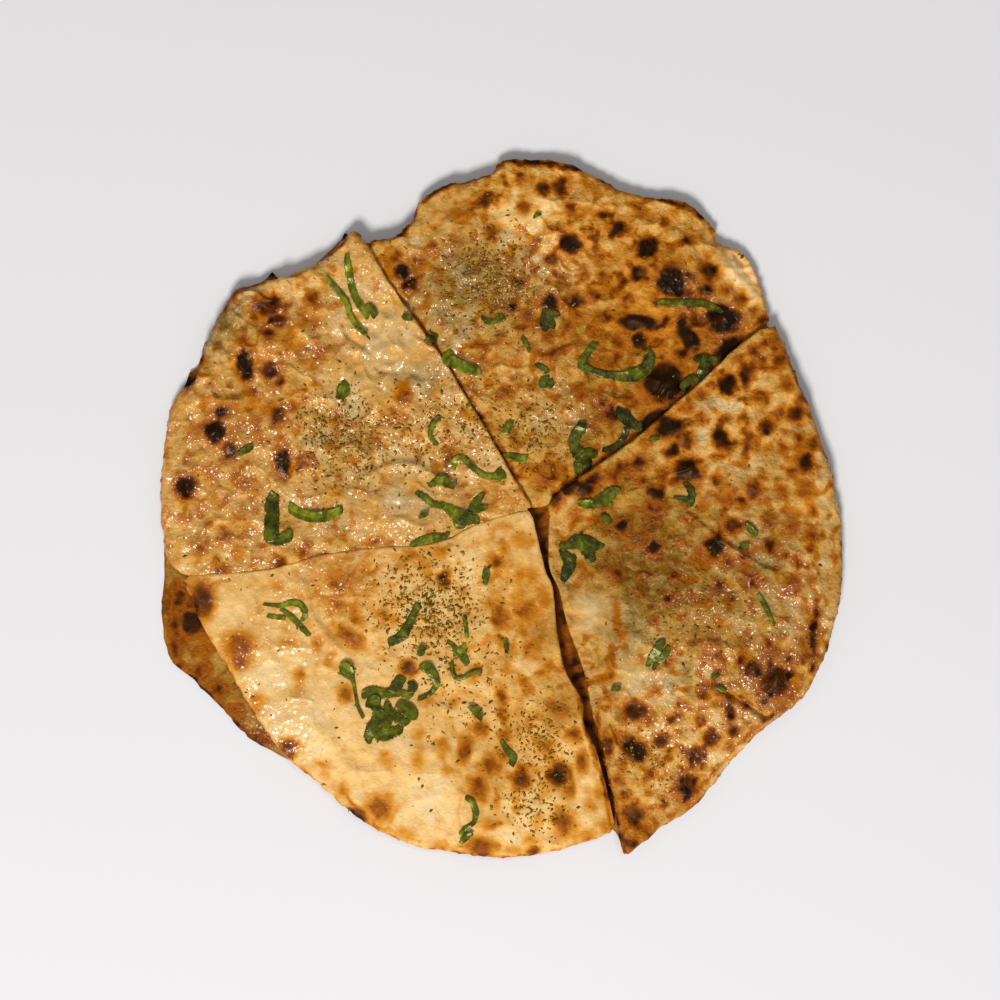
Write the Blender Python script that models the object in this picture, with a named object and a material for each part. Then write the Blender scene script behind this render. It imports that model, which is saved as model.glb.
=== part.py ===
"""A filled flatbread, 25 cm across, cut into four wedges that lie on its own lower leaf.

Chopped coriander lies on it and dried herb is baked on. Everything below is in metres once it
is a mesh, +Z up, with the origin at the middle of the flat face that the bread rests on. The
outlines are written in millimetres from that origin, as the bread is seen from above.
"""

import math

import bmesh
import bpy
import numpy as np
from mathutils import Vector
from mathutils.bvhtree import BVHTree
from mathutils.geometry import tessellate_polygon

MM = 0.001

# Driving heights, in millimetres above the face that the bread rests on
LOWER_TOP = 2.6
LOWER_RIM_DROP = 0.5
LEAF_GAP = 0.3
CRUST_TOP = 7.0
RIM_DROP = 1.7
RIM_DROP_START = 98.0
RIM_DROP_REACH = 26.0

# How far a rim and a cut edge are rounded, and half the width of a knife cut, in millimetres
RIM_ROUND = 2.4
CUT_ROUND = 1.3
HALF_CUT = 0.35

# How many points each outline has, and where its rings lie between the middle and the edge
CUT_POINTS = 17
RIM_POINTS = 44
LOWER_POINTS = 96
TOP_RINGS = (0.16, 0.32, 0.48, 0.64, 0.8, 0.92)
LOWER_RINGS = (0.4, 0.8)
CURVE_STEPS = 16

# The knife's four lines, each from the hub out towards the rim
CUT_TOP_LEFT = [(10.1, 1.1), (5, 9.4), (-0.7, 19.1), (-6.8, 29.9), (-14.8, 42.5), (-20.9, 52.9),
                (-33.5, 70.6), (-42.5, 83.9), (-48.2, 94)]
CUT_LEFT = [(8.6, -1), (-0.7, -3.2), (-7.9, -5.4), (-13.3, -7.9), (-19.4, -11.2), (-29.5, -13.3),
            (-45.7, -14.4), (-65.5, -16.9), (-81.7, -21.6), (-97.9, -23.4), (-112.3, -24.1)]
CUT_RIGHT = [(17.6, 2.5), (25.2, 9), (38.9, 18.4), (50, 26.6), (61.2, 36.4), (71.3, 45),
             (83.9, 57.2), (92.9, 64.1)]
# The lower cut has opened, so each of its sides has a line of its own
CUT_DOWN_BOTTOM_SIDE = [(12.6, -9), (15.8, -22), (18.4, -28.4), (19.8, -43.6), (23, -58),
                        (29.2, -69.5), (29.5, -76.7), (34, -86.8), (36.5, -95.8), (39, -105.5)]
CUT_DOWN_RIGHT_SIDE = [(16.6, -11.2), (16.9, -21.2), (20.4, -29.2), (23.6, -42.8), (28.4, -55.4),
                       (30.8, -65.2), (32.6, -74.5), (35.2, -83.9), (37.8, -95.4), (40.4, -106.6),
                       (42, -118.4)]

# The rims, each going round the bread anticlockwise
TOP_RIM = [(96.3, 68.2), (95.4, 73.1), (91.8, 83.2), (89.3, 90), (83.2, 93.6), (77, 96.8),
           (76.3, 101.2), (70.6, 107.3), (62.6, 112), (55.1, 112), (43.2, 114.8), (25.2, 124.2),
           (13.7, 126), (3.6, 126.4), (-1.4, 124.6), (-3.6, 121.3), (-11.5, 118.4), (-20.2, 117),
           (-29.2, 111.2), (-32.4, 104), (-38.5, 98.3), (-47.2, 96.5)]
LEFT_RIM = [(-50, 96.7), (-52.6, 99.7), (-56.2, 97.9), (-64.1, 90), (-78.1, 84.2), (-86.4, 82.4),
            (-95, 79.2), (-99.7, 74.5), (-105.5, 62.6), (-109.8, 52.9), (-110.9, 46.4),
            (-117.4, 40.3), (-121, 30.2), (-123.1, 3.2), (-121.3, -16.4), (-116, -23)]
BOTTOM_RIM = [(-115, -25.6), (-113, -30.6), (-106.6, -44.6), (-95.4, -63.4), (-79.9, -87.8),
              (-67.3, -97.9), (-50.4, -112.7), (-36.4, -119.9), (-21.2, -123.5), (-6.1, -125.6),
              (6.5, -125.3), (20.9, -123.1), (35.3, -118.4), (39.6, -116.6), (40.6, -112.9)]
RIGHT_RIM = [(42.8, -122), (44.6, -124.6), (51.5, -120.2), (56.9, -114.8), (68, -108.7),
             (74.2, -101.9), (84.2, -89.6), (95, -78.8), (104.8, -71.3), (112.3, -61.9),
             (119.5, -43.6), (122.8, -18.4), (120.2, 6.8), (112.3, 33.5), (106.2, 47.5),
             (102.2, 58.3), (98.6, 66)]

# The lower leaf: it shows past the bottom wedge at the lower left, and as three burnt tips
LOWER_RIM = [(94, 71), (88, 89), (76, 95), (69, 106), (54, 110.5), (42.5, 113.3), (25, 122.6),
             (8, 125.6), (-3, 121), (-20, 115.6), (-31, 103.5), (-40, 96.5), (-51.5, 96.5),
             (-57.6, 100.4), (-58.5, 96.8), (-74, 84), (-81.5, 83.4), (-83.4, 86.4), (-86.6, 82.6),
             (-98.5, 74.2), (-107, 56), (-113.2, 48.6), (-115.6, 42), (-119.6, 30), (-121.9, 3),
             (-122.6, -22), (-123, -40), (-119.6, -54.2), (-111.2, -62.3), (-101.2, -72.7),
             (-92.5, -82.1), (-79.9, -90), (-66.5, -97.2), (-50, -111.5), (-36, -118.6),
             (-6, -124.4), (20, -122), (38, -115.6), (45, -122.4), (56, -113.5), (73.2, -101.1),
             (94, -77.8), (111.2, -61), (118.3, -43), (121.6, -18.4), (119, 6.8), (105, 47.5)]

# Wedge name: tip, first side out, rim, second side out, middle of its rings, lift of its top
WEDGES = {
    "wedge_top": ((13.7, 0.4), (CUT_RIGHT, 1), TOP_RIM, (CUT_TOP_LEFT, -1), (28, 66), 0.0),
    "wedge_left": ((9, 0.2), (CUT_TOP_LEFT, 1), LEFT_RIM, (CUT_LEFT, -1), (-64, 32), 0.4),
    "wedge_bottom": ((11.2, -3), (CUT_LEFT, 1), BOTTOM_RIM, (CUT_DOWN_BOTTOM_SIDE, 0), (-18, -62), 1.0),
    "wedge_right": ((17, -3.2), (CUT_DOWN_RIGHT_SIDE, 0), RIGHT_RIM, (CUT_RIGHT, -1), (72, -18), 0.8),
}

# Broad waves of the crust: direction in degrees, length and height in millimetres, phase
WAVES = [(20, 74, 0.35, 0.4), (105, 58, 0.3, 1.9), (63, 39, 0.2, 4.0), (150, 31, 0.15, 2.6)]

# Puffs where steam lifted the crust: x, y, radius and height in millimetres
PUFFS = [(-38.5, 1.4, 17, 1.5), (-38, 40, 13, 1.1), (-84, 62, 16, 0.8), (-34, -34, 30, 1.6),
         (-96, -45, 15, 0.7), (-30, -102, 20, 0.8), (30, -44, 13, 1.8), (62, -54, 16, 1.3),
         (72, 18, 18, 0.9), (96, -60, 14, 0.9), (11, 86, 15, 1.2), (58, 88, 20, 0.9),
         (34, 30, 13, 0.7)]

# Coriander stems and shreds: x, y and full width at points along each, in millimetres
STRIPS = {
    "stem_beside": [(-63.4, 83.2, 1.8), (-58.7, 78.1, 2.2), (-55.8, 73.8, 2.2), (-54.4, 69.1, 2.2),
                    (-51.8, 65.2, 1.8), (-48.6, 62.6, 1.8)],
    "shred_arch": [(-77, 1.1, 3.2), (-73.4, -1.4, 4), (-68.4, -2.9, 4.3), (-62.6, -2.5, 4),
                   (-57.2, 0, 2.9)],
    "shred_thin": [(-22.3, 33.5, 1.8), (-24.8, 30.6, 2.2), (-25.9, 26.3, 1.8), (-23.4, 22.7, 1.8)],
    "sprig_top": [(-17.6, 14, 1.8), (-16.9, 17.6, 2.2), (-14.8, 18.7, 2.2), (-10.8, 15.1, 2.2),
                  (-6.5, 11.9, 2.2), (-3.2, 11.5, 2.5), (-0.7, 12.2, 5.4), (1.4, 12.6, 2.9)],
    "shred_cut_left": [(-32.8, -13.3, 1.8), (-29.2, -11.5, 2.9), (-24.8, -10.4, 3.2),
                       (-20.9, -10.1, 2.2), (-19.1, -8.3, 1.4)],
    "shred_cut_top": [(-17.6, 56.5, 3.2), (-19.8, 54, 4.3), (-16.2, 52.2, 4.3), (-12.2, 50.4, 4),
                      (-7.6, 49.3, 3.2)],
    "shred_smile": [(-7.6, 69.1, 1.4), (-4.7, 67.3, 2.2), (-1.8, 67.7, 1.8), (0.7, 69.5, 2.2)],
    "shred_flat": [(55.8, 74.2, 2.5), (64.1, 74.2, 2.5), (72, 73.8, 2.5), (76.3, 72.4, 2.5),
                   (79.2, 70.6, 1.4)],
    "shred_u": [(33.8, 60.1, 2.5), (29.9, 54.7, 2.9), (28.8, 51.5, 3.6), (32.4, 49.7, 2.5),
                (37.8, 48.2, 2.9), (43.2, 47.5, 3.6), (48.2, 48.2, 5), (51.8, 50.4, 4.7),
                (53.3, 54.4, 4.3), (52.2, 57.6, 2.5)],
    "shred_cross": [(0.4, 19.1, 1.8), (3.6, 19.1, 2.2), (6.5, 18, 3.2), (9.4, 18.4, 2.9)],
    "stem_pale": [(91.8, -30.6, 1.4), (94, -34.2, 1.8), (96.1, -38.5, 1.4), (97.6, -42.1, 1.4)],
    "shred_chain": [(-30.2, -33.8, 2.2), (-31.7, -37.8, 2.9), (-33.5, -41.4, 3.2), (-35.3, -45, 4),
                    (-37.8, -46.8, 3.6), (-41, -48.2, 3.2)],
    "stem_fine": [(-13.7, -38.5, 1.1), (-13, -42.8, 1.4), (-12.6, -46.4, 1.4)],
    "stem_curl": [(-18, -54.7, 1.3), (-18, -58, 1.4), (-16.6, -60.8, 1.6), (-13.7, -60.5, 1.6),
                  (-10.4, -58.7, 1.4), (-7.2, -58.3, 1.8)],
    "sprig_bottom": [(-56.9, -55.1, 2.5), (-55.8, -58, 5.8), (-53.6, -61.6, 1.8), (-52.9, -65.2, 1.3),
                     (-51.8, -70.9, 1.3), (-49.7, -75.2, 1.3)],
    "stem_loop": [(-29.5, -57.2, 2.2), (-26.6, -56.9, 4), (-24.5, -59.8, 3.2), (-23.4, -63, 2.5),
                  (-25.6, -66.2, 1.8), (-27.7, -67.3, 1.4)],
    "shred_low": [(-0.4, -83.2, 1.4), (1.8, -86.8, 2.5), (4, -89.6, 3.2), (3.2, -92.5, 2.2)],
    "shred_rim_low": [(-13.3, -103.7, 1.4), (-10.8, -105.1, 2.2), (-9.4, -109.1, 2.5),
                      (-10.1, -112.7, 1.8), (-13, -114.8, 1.8), (-15.1, -117.4, 2.2)],
}

# Coriander leaves and branching bits: the outline of each, in millimetres
LEAVES = {
    "stem_long": [(-56.5, 91.8), (-54.7, 91.4), (-54, 88.9), (-54.4, 84.2), (-52.6, 79.6),
                  (-51.8, 75.2), (-49.7, 73.4), (-46.8, 73.8), (-45.4, 70.9), (-46.8, 69.1),
                  (-49.7, 68.4), (-52.9, 72.4), (-54.7, 76.3), (-55.8, 80.6), (-56.9, 86)],
    "shred_hook": [(-85, 4.3), (-82.8, 6.1), (-80.3, 5.8), (-79.2, 3.2), (-79.9, 0.4), (-79.9, -7.6),
                   (-75.6, -7.2), (-76, -10.4), (-78.1, -13), (-85.3, -12.6), (-86.4, -8.3),
                   (-86, -3.2), (-84.2, 0.4)],
    "leaf_left": [(-26.3, 7.9), (-24.5, 10.4), (-22.3, 12.6), (-20.2, 10.1), (-16.2, 9.7), (-16.6, 7.9),
                  (-19.1, 7.2), (-22.3, 8.3)],
    "sprig_hub": [(-31, 6.1), (-29.2, 6.5), (-26.3, 3.6), (-23.8, 1.8), (-20.2, 1.8), (-16.6, 0.4),
                  (-13, -0.4), (-10.8, 1.4), (-9.4, 4), (-6.1, 5.8), (-7.2, 2.9), (-7.6, 1.1),
                  (-5, 0.7), (-7.9, -1.1), (-7.2, -4.3), (-10.1, -4.7), (-13, -6.8), (-16.2, -6.5),
                  (-18, -3.2), (-20.9, -0.4), (-25.2, 0.4), (-27, 1.1), (-29.5, 4)],
    "leaf_top": [(14.8, 72), (17.6, 70.9), (20.9, 70.2), (19.1, 67.3), (18.4, 64.8), (15.8, 63.7),
                 (14, 66.2), (13.7, 69.8)],
    "leaf_top_low": [(12.6, 52.9), (14.8, 51.1), (16.9, 49.7), (18, 47.2), (18.7, 43.6), (15.5, 43.2),
                     (13, 45), (14.8, 47.5), (14.4, 49.7), (11.5, 51.8)],
    "leaf_rim": [(68.4, 54.4), (71.3, 55.4), (78.1, 54), (74.9, 51.5), (73.4, 48.6), (70.9, 46.8),
                 (68.4, 45.7), (67, 43.2), (65.5, 41), (64.1, 42.5), (64.4, 46.1), (67.7, 47.5),
                 (70.2, 49.7), (70.9, 52.2)],
    "leaf_vee": [(29.2, 32.4), (31, 30.6), (29.5, 25.6), (28.8, 22.7), (31.7, 20.9), (34.6, 20.2),
                 (32.8, 17.3), (31.7, 14.8), (29.5, 15.1), (28.4, 11.5), (27, 11.2), (27, 15.1),
                 (25.2, 18.4), (24.8, 22.3), (23, 25.2), (25.6, 28.4), (27, 31.3)],
    "leaf_dark": [(40.7, 36.4), (43.2, 35.6), (45.7, 34.2), (46.8, 32), (51.5, 31), (50, 28.4),
                  (46.1, 27.7), (44.6, 24.5), (41, 21.2), (36, 20.5), (36, 22.3), (40, 23.4),
                  (42.5, 25.9), (43.2, 29.2), (42.8, 31.7), (41, 32.8)],
    "leaf_bright": [(27, 2.5), (29.2, 3.6), (32.4, 3.2), (36.4, 6.5), (39.6, 8.6), (42.5, 7.9),
                    (41.4, 5.8), (39.6, 4), (39.2, 1.4), (35.3, 0), (31.7, 0), (28.1, 0.7)],
    "leaf_bunch": [(19.4, -13.3), (22.7, -13), (25.6, -11.5), (28.4, -8.3), (32, -9.7), (35.6, -11.5),
                   (36.7, -13.7), (34.2, -15.1), (33.8, -18.7), (31.7, -19.4), (29.2, -16.2),
                   (27, -16.6), (27.4, -20.2), (24.8, -24.1), (21.2, -26.6), (20.9, -23.8),
                   (21.6, -19.8), (19.8, -16.6)],
    "leaf_right": [(65.2, 10.1), (67.7, 8.3), (69.8, 6.1), (69.5, 2.5), (67.7, 0.4), (65.2, 1.1),
                   (61.2, 4.3), (65.5, 4.7), (66.6, 6.8)],
    "leaf_frilly": [(56.2, -46.8), (58.7, -46.4), (60.1, -49.3), (60.8, -52.2), (58.3, -54.7),
                    (55.8, -55.8), (54, -58), (51.1, -56.9), (52.9, -53.6), (54.4, -49.3)],
    "leaf_twig": [(-86, -34.2), (-79.6, -34.6), (-76, -32.8), (-72.4, -33.5), (-70.6, -35.6),
                  (-70.2, -38.9), (-71.3, -40.7), (-68.4, -45), (-69.8, -46.1), (-72.7, -43.6),
                  (-76, -40.3), (-84.6, -39.2), (-84.6, -37.8), (-78.5, -37.8), (-80.3, -36.4),
                  (-85, -35.6)],
    "leaf_sprig": [(-20.2, -47.5), (-17.6, -48.2), (-16.2, -50), (-14.8, -49.7), (-14, -48.2),
                   (-12.2, -50.8), (-13, -53.3), (-11.5, -55.8), (-13, -56.9), (-15.1, -54.7),
                   (-16.9, -52.9), (-17.3, -50.8)],
    "leaf_large": [(-50.4, -66.6), (-48.2, -64.8), (-43.9, -64.8), (-39.6, -64.8), (-36.7, -60.8),
                   (-34.9, -61.2), (-33.5, -62.6), (-31.7, -65.2), (-29.9, -67.7), (-32, -69.8),
                   (-33.8, -72.7), (-31, -74.2), (-32, -77.4), (-35.3, -79.6), (-38.5, -81.4),
                   (-42.1, -83.5), (-48.2, -85), (-49.7, -82.1), (-49.3, -79.9), (-47.2, -78.1),
                   (-46.1, -73.1), (-49.7, -70.2)],
}

# Coriander scraps too small to be pieces of their own: x, y, heading, length and width
SCRAPS = [(-57, 42.5, 70, 6.6, 5.2), (-92.2, 21.2, 30, 6.4, 3.2), (-8.6, 3, 60, 6.4, 3.0),
          (-34, 68.8, 20, 3.6, 3.2), (-25.4, 61.4, -40, 4.4, 2.6), (2.2, 29.2, 60, 5.6, 3.0),
          (8.6, 59.2, -62, 6.6, 1.8), (12.6, 105.6, 30, 3.4, 1.8), (54.6, 25.2, 10, 4.2, 2.0),
          (37.4, -3.6, -50, 4.6, 3.0), (89.6, -7.6, -40, 6.0, 3.0), (86.8, -13.6, 25, 4.6, 2.4),
          (41, -64.4, 0, 3.6, 2.4), (76.6, -60, 35, 4.4, 2.0), (78.8, -64.6, -30, 4.6, 2.2),
          (-5.9, -24.4, -95, 6.2, 3.0), (-28.9, -50.8, 70, 4.2, 3.4), (-55.6, -57.4, -40, 6.0, 4.6),
          (-9.4, -73.1, -48, 7.0, 3.0), (-12.8, -118.2, -140, 6.0, 2.4), (1.5, -49.6, -85, 5.0, 2.0)]

# Where the dried herb fell thickest: x, y, spread in millimetres, and how many large flakes
HERB_DRIFTS = [(-16, 78, 12, 9), (6, 60, 10, 5), (-56, 28, 12, 9), (-20, 30, 9, 4), (-2, 40, 9, 4),
               (-22, -32, 12, 10), (18, -60, 12, 4), (72, -38, 14, 5), (14, 8, 6, 2)]
FLAKE_LENGTH = 2.2
FLAKE_WIDTH = 1.1
FLAKE_CLEARANCE = 2.6
HERB_SEED = 5

# Garnish: its thickness, how far it stays above the crust, and how wide it feels for the crust
GARNISH_THICKNESS = 0.6
GARNISH_GAP = 0.4
FEEL_REACH = 1.2
STATION_STEP = 3.0
SCRAP_POINTS = 8
FLAKE_POINTS = 5

# Finishes: linear colour and roughness
FINISHES = {
    "crust": ((0.56, 0.33, 0.15), 0.55),
    "crust_under": ((0.42, 0.24, 0.10), 0.6),
    "coriander": ((0.07, 0.19, 0.03), 0.5),
}


def finish(name):
    """The Principled material of that name, made once."""
    found = bpy.data.materials.get(name)
    if found:
        return found
    colour, roughness = FINISHES[name]
    made = bpy.data.materials.new(name)
    made.use_nodes = True
    shader = made.node_tree.nodes["Principled BSDF"]
    shader.inputs["Base Color"].default_value = (*colour, 1)
    shader.inputs["Roughness"].default_value = roughness
    shader.inputs["Metallic"].default_value = 0
    return made


def place(name, shape, finish_name):
    """A mesh made from a bmesh in millimetres, as a named object in metres."""
    bmesh.ops.scale(shape, vec=(MM, MM, MM), verts=shape.verts)
    mesh = bpy.data.meshes.new(name)
    shape.to_mesh(mesh)
    shape.free()
    mesh.shade_smooth()
    mesh.set_sharp_from_angle(angle=math.radians(50))
    mesh.materials.append(finish(finish_name))
    made = bpy.data.objects.new(name, mesh)
    bpy.context.scene.collection.objects.link(made)
    return made


def smooth_path(points, count, closed=False):
    """count points evenly spaced along a Catmull-Rom curve through the given ones.

    Columns after x and y, such as a width, follow along.
    """
    points = np.array(points, float)
    if closed:
        points = np.vstack([points[-1:], points, points[:2]])
    else:
        points = np.vstack([2 * points[0] - points[1], points, 2 * points[-1] - points[-2]])
    t = np.linspace(0, 1, CURVE_STEPS, endpoint=False)[:, None]
    spans = []
    for a, b, c, d in zip(points, points[1:], points[2:], points[3:]):
        cubic = 2 * b + (c - a) * t + (2 * a - 5 * b + 4 * c - d) * t**2
        spans.append(0.5 * (cubic + (3 * b - a - 3 * c + d) * t**3))
    spans.append(points[-2:-1])
    curve = np.vstack(spans)
    run = np.concatenate([[0], np.cumsum(np.hypot(*np.diff(curve[:, :2], axis=0).T))])
    at = np.linspace(0, run[-1], count + 1 if closed else count)[:count]
    return np.column_stack([np.interp(at, run, column) for column in curve.T])


def beside(line, side):
    """A knife line moved half the cut's width to its left (side 1) or right (side -1)."""
    line = np.array(line, float)
    along = np.gradient(line, axis=0)
    along /= np.linalg.norm(along, axis=1, keepdims=True)
    across = np.column_stack([-along[:, 1], along[:, 0]])
    return line + side * HALF_CUT * across


def wedge_outline(tip, first, rim, second):
    """A wedge's closed outline, out along one cut, round the rim and back, and its rounding."""
    out = smooth_path(np.vstack([[tip], beside(*first)]), CUT_POINTS)
    back = smooth_path(np.vstack([[tip], beside(*second)]), CUT_POINTS)[::-1]
    outline = np.vstack([out, smooth_path(rim, RIM_POINTS), back[:-1]])
    rounding = np.full(len(outline), CUT_ROUND)
    rounding[CUT_POINTS:CUT_POINTS + RIM_POINTS] = RIM_ROUND
    return outline, rounding


def crust_height(x, y, lift):
    """Top of the crust in millimetres: level, waves and puffs, falling towards the rim."""
    z = CRUST_TOP + lift
    for direction, length, height, phase in WAVES:
        turn = math.radians(direction)
        z += height * math.sin(math.tau * (x * math.cos(turn) + y * math.sin(turn)) / length + phase)
    for px, py, radius, height in PUFFS:
        z += height * math.exp(-((x - px) ** 2 + (y - py) ** 2) / (0.5 * radius**2))
    out = min(max((math.hypot(x, y) - RIM_DROP_START) / RIM_DROP_REACH, 0), 1)
    return z - RIM_DROP * out**2


def lower_height(x, y):
    """Top of the lower leaf in millimetres, a little thinner at its rim."""
    out = min(max((math.hypot(x, y) - RIM_DROP_START) / RIM_DROP_REACH, 0), 1)
    return LOWER_TOP - LOWER_RIM_DROP * out**2


def leaf_of_dough(name, outline, rounding, middle, rings, top, bottom, finish_name):
    """A closed leaf of dough: rings from the middle of its top, over its round edge, to its base."""
    middle = np.array(middle, float)
    rays = outline - middle
    reach = np.linalg.norm(rays, axis=1)
    rays /= reach[:, None]
    inner = reach - rounding
    shape = bmesh.new()

    def ring(distance, height):
        made = []
        for x, y in middle + rays * distance[:, None]:
            made.append(shape.verts.new((x, y, height(x, y))))
        return made

    def between(share):
        return lambda x, y: bottom + share * (top(x, y) - bottom)

    loops = [ring(share * inner, top) for share in rings]
    loops.append(ring(inner, between(0.98)))
    loops.append(ring(reach - 0.4 * rounding, between(0.86)))
    loops.append(ring(reach, between(0.45)))
    loops.append(ring(reach - 0.5 * rounding, between(0)))
    loops.append(ring(0.5 * inner, between(0)))
    count = len(outline)
    for upper, lower in zip(loops, loops[1:]):
        for i in range(count):
            j = (i + 1) % count
            shape.faces.new((upper[i], lower[i], lower[j], upper[j]))
    crown = shape.verts.new((*middle, top(*middle)))
    base = shape.verts.new((*middle, bottom))
    for i in range(count):
        j = (i + 1) % count
        shape.faces.new((crown, loops[0][i], loops[0][j]))
        shape.faces.new((base, loops[-1][j], loops[-1][i]))
    bmesh.ops.triangulate(shape, faces=shape.faces)
    return place(name, shape, finish_name)


def surface_of(objects):
    """A tree of the objects' triangles, to feel for the crust from above."""
    points, faces = [], []
    for thing in objects:
        start = len(points)
        points += [v.co / MM for v in thing.data.vertices]
        faces += [[start + i for i in face.vertices] for face in thing.data.polygons]
    return BVHTree.FromPolygons(points, faces)


def ground(tree, x, y):
    """The highest point of the crust near x, y."""
    found = []
    for dx in (-FEEL_REACH, 0, FEEL_REACH):
        for dy in (-FEEL_REACH, 0, FEEL_REACH):
            hit = tree.ray_cast(Vector((x + dx, y + dy, 50)), Vector((0, 0, -1)))[0]
            found.append(hit.z if hit else 0)
    return max(found)


def bridged(heights):
    """Heights along a stiff strip, which spans a dip and doesn't follow it down."""
    heights = np.array(heights)
    for _ in range(3):
        heights[1:-1] = np.maximum(heights[1:-1], (heights[:-2] + heights[2:]) / 2)
    return heights


def strip(name, line, tree):
    """A thin strip that follows a line of x, y and width over the crust."""
    run = np.sum(np.hypot(*np.diff(np.array(line)[:, :2], axis=0).T))
    stations = smooth_path(line, max(5, round(run / STATION_STEP) + 1))
    points, half = stations[:, :2], stations[:, 2:] / 2
    along = np.gradient(points, axis=0)
    along /= np.linalg.norm(along, axis=1, keepdims=True)
    across = np.column_stack([-along[:, 1], along[:, 0]])
    left, right = points + half * across, points - half * across
    heights = bridged([max(ground(tree, *a), ground(tree, *b)) for a, b in zip(left, right)])
    heights += GARNISH_GAP + 0.12 * (1 + np.sin(1.7 * np.arange(len(heights))))
    shape = bmesh.new()
    rows = []
    for a, b, z in zip(left, right, heights):
        corners = [(*a, z), (*b, z), (*b, z + GARNISH_THICKNESS), (*a, z + GARNISH_THICKNESS)]
        rows.append([shape.verts.new(corner) for corner in corners])
    for one, two in zip(rows, rows[1:]):
        for i in range(4):
            j = (i + 1) % 4
            shape.faces.new((one[i], one[j], two[j], two[i]))
    shape.faces.new(rows[0][::-1])
    shape.faces.new(rows[-1])
    bmesh.ops.triangulate(shape, faces=shape.faces)
    bmesh.ops.recalc_face_normals(shape, faces=shape.faces)
    return place(name, shape, "coriander")


def coriander_leaf(name, outline, tree):
    """A thin wavy leaf of the given outline, both faces split into triangles alike."""
    count = len(outline)
    triangles = tessellate_polygon([[Vector((x, y, 0)) for x, y in outline]])
    shape = bmesh.new()
    faces = []
    for level in (0, GARNISH_THICKNESS):
        loop = []
        for i, (x, y) in enumerate(outline):
            wave = 0.15 * (1 + math.sin(2.3 * i))
            loop.append(shape.verts.new((x, y, ground(tree, x, y) + GARNISH_GAP + wave + level)))
        faces.append(loop)
    under, over = faces
    for a, b, c in triangles:
        shape.faces.new((over[a], over[b], over[c]))
        shape.faces.new((under[c], under[b], under[a]))
    for i in range(count):
        j = (i + 1) % count
        shape.faces.new((over[i], under[i], under[j]))
        shape.faces.new((over[i], under[j], over[j]))
    bmesh.ops.recalc_face_normals(shape, faces=shape.faces)
    return place(name, shape, "coriander")


def lozenge(collection, x, y, z, heading, length, width, rise, count):
    """A flat lozenge half sunk in the crust, one of those that a wedge is fused with."""
    shape = bmesh.new()
    turn = math.radians(heading)
    loop = []
    for i in range(count):
        angle = math.tau * i / count
        along, over = 0.5 * length * math.cos(angle), 0.5 * width * math.sin(angle)
        loop.append(shape.verts.new((x + along * math.cos(turn) - over * math.sin(turn),
                                     y + along * math.sin(turn) + over * math.cos(turn), z + 0.15)))
    above = shape.verts.new((x, y, z + rise))
    below = shape.verts.new((x, y, z - rise))
    for i in range(count):
        j = (i + 1) % count
        shape.faces.new((above, loop[i], loop[j]))
        shape.faces.new((below, loop[j], loop[i]))
    made = place("bit", shape, "coriander")
    bpy.context.scene.collection.objects.unlink(made)
    collection.objects.link(made)


def inside(outline, x, y):
    """Whether the point lies within the closed outline."""
    ax, ay = outline.T
    bx, by = np.roll(outline, -1, axis=0).T
    crosses = (ay > y) != (by > y)
    rise = np.where(by == ay, 1, by - ay)
    return bool(np.sum(crosses & (x < ax + (y - ay) * (bx - ax) / rise)) % 2)


def edge_distance(outline, x, y):
    """How far the point is from the nearest point of the outline."""
    return float(np.min(np.hypot(outline[:, 0] - x, outline[:, 1] - y)))


def fuse(wedge, collection):
    """Joins a wedge and its lozenges into one solid, and clears the lozenges away."""
    join = wedge.modifiers.new("bits", "BOOLEAN")
    join.operation = "UNION"
    join.operand_type = "COLLECTION"
    join.collection = collection
    join.solver = "EXACT"
    with bpy.context.temp_override(object=wedge, active_object=wedge):
        bpy.ops.object.modifier_apply(modifier=join.name)
    for bit in list(collection.objects):
        bpy.data.objects.remove(bit)
    bpy.data.collections.remove(collection)
    wedge.data.materials.clear()
    wedge.data.materials.append(finish("crust"))


def herb_flakes():
    """Large flakes of dried herb: x, y and heading, scattered about each drift by a seeded draw."""
    draw = np.random.default_rng(HERB_SEED)
    found = []
    for x, y, spread, count in HERB_DRIFTS:
        for dx, dy, turn in draw.uniform(-1, 1, (count, 3)):
            found.append((x + spread * dx, y + spread * dy, 180 * turn))
    return found


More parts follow.
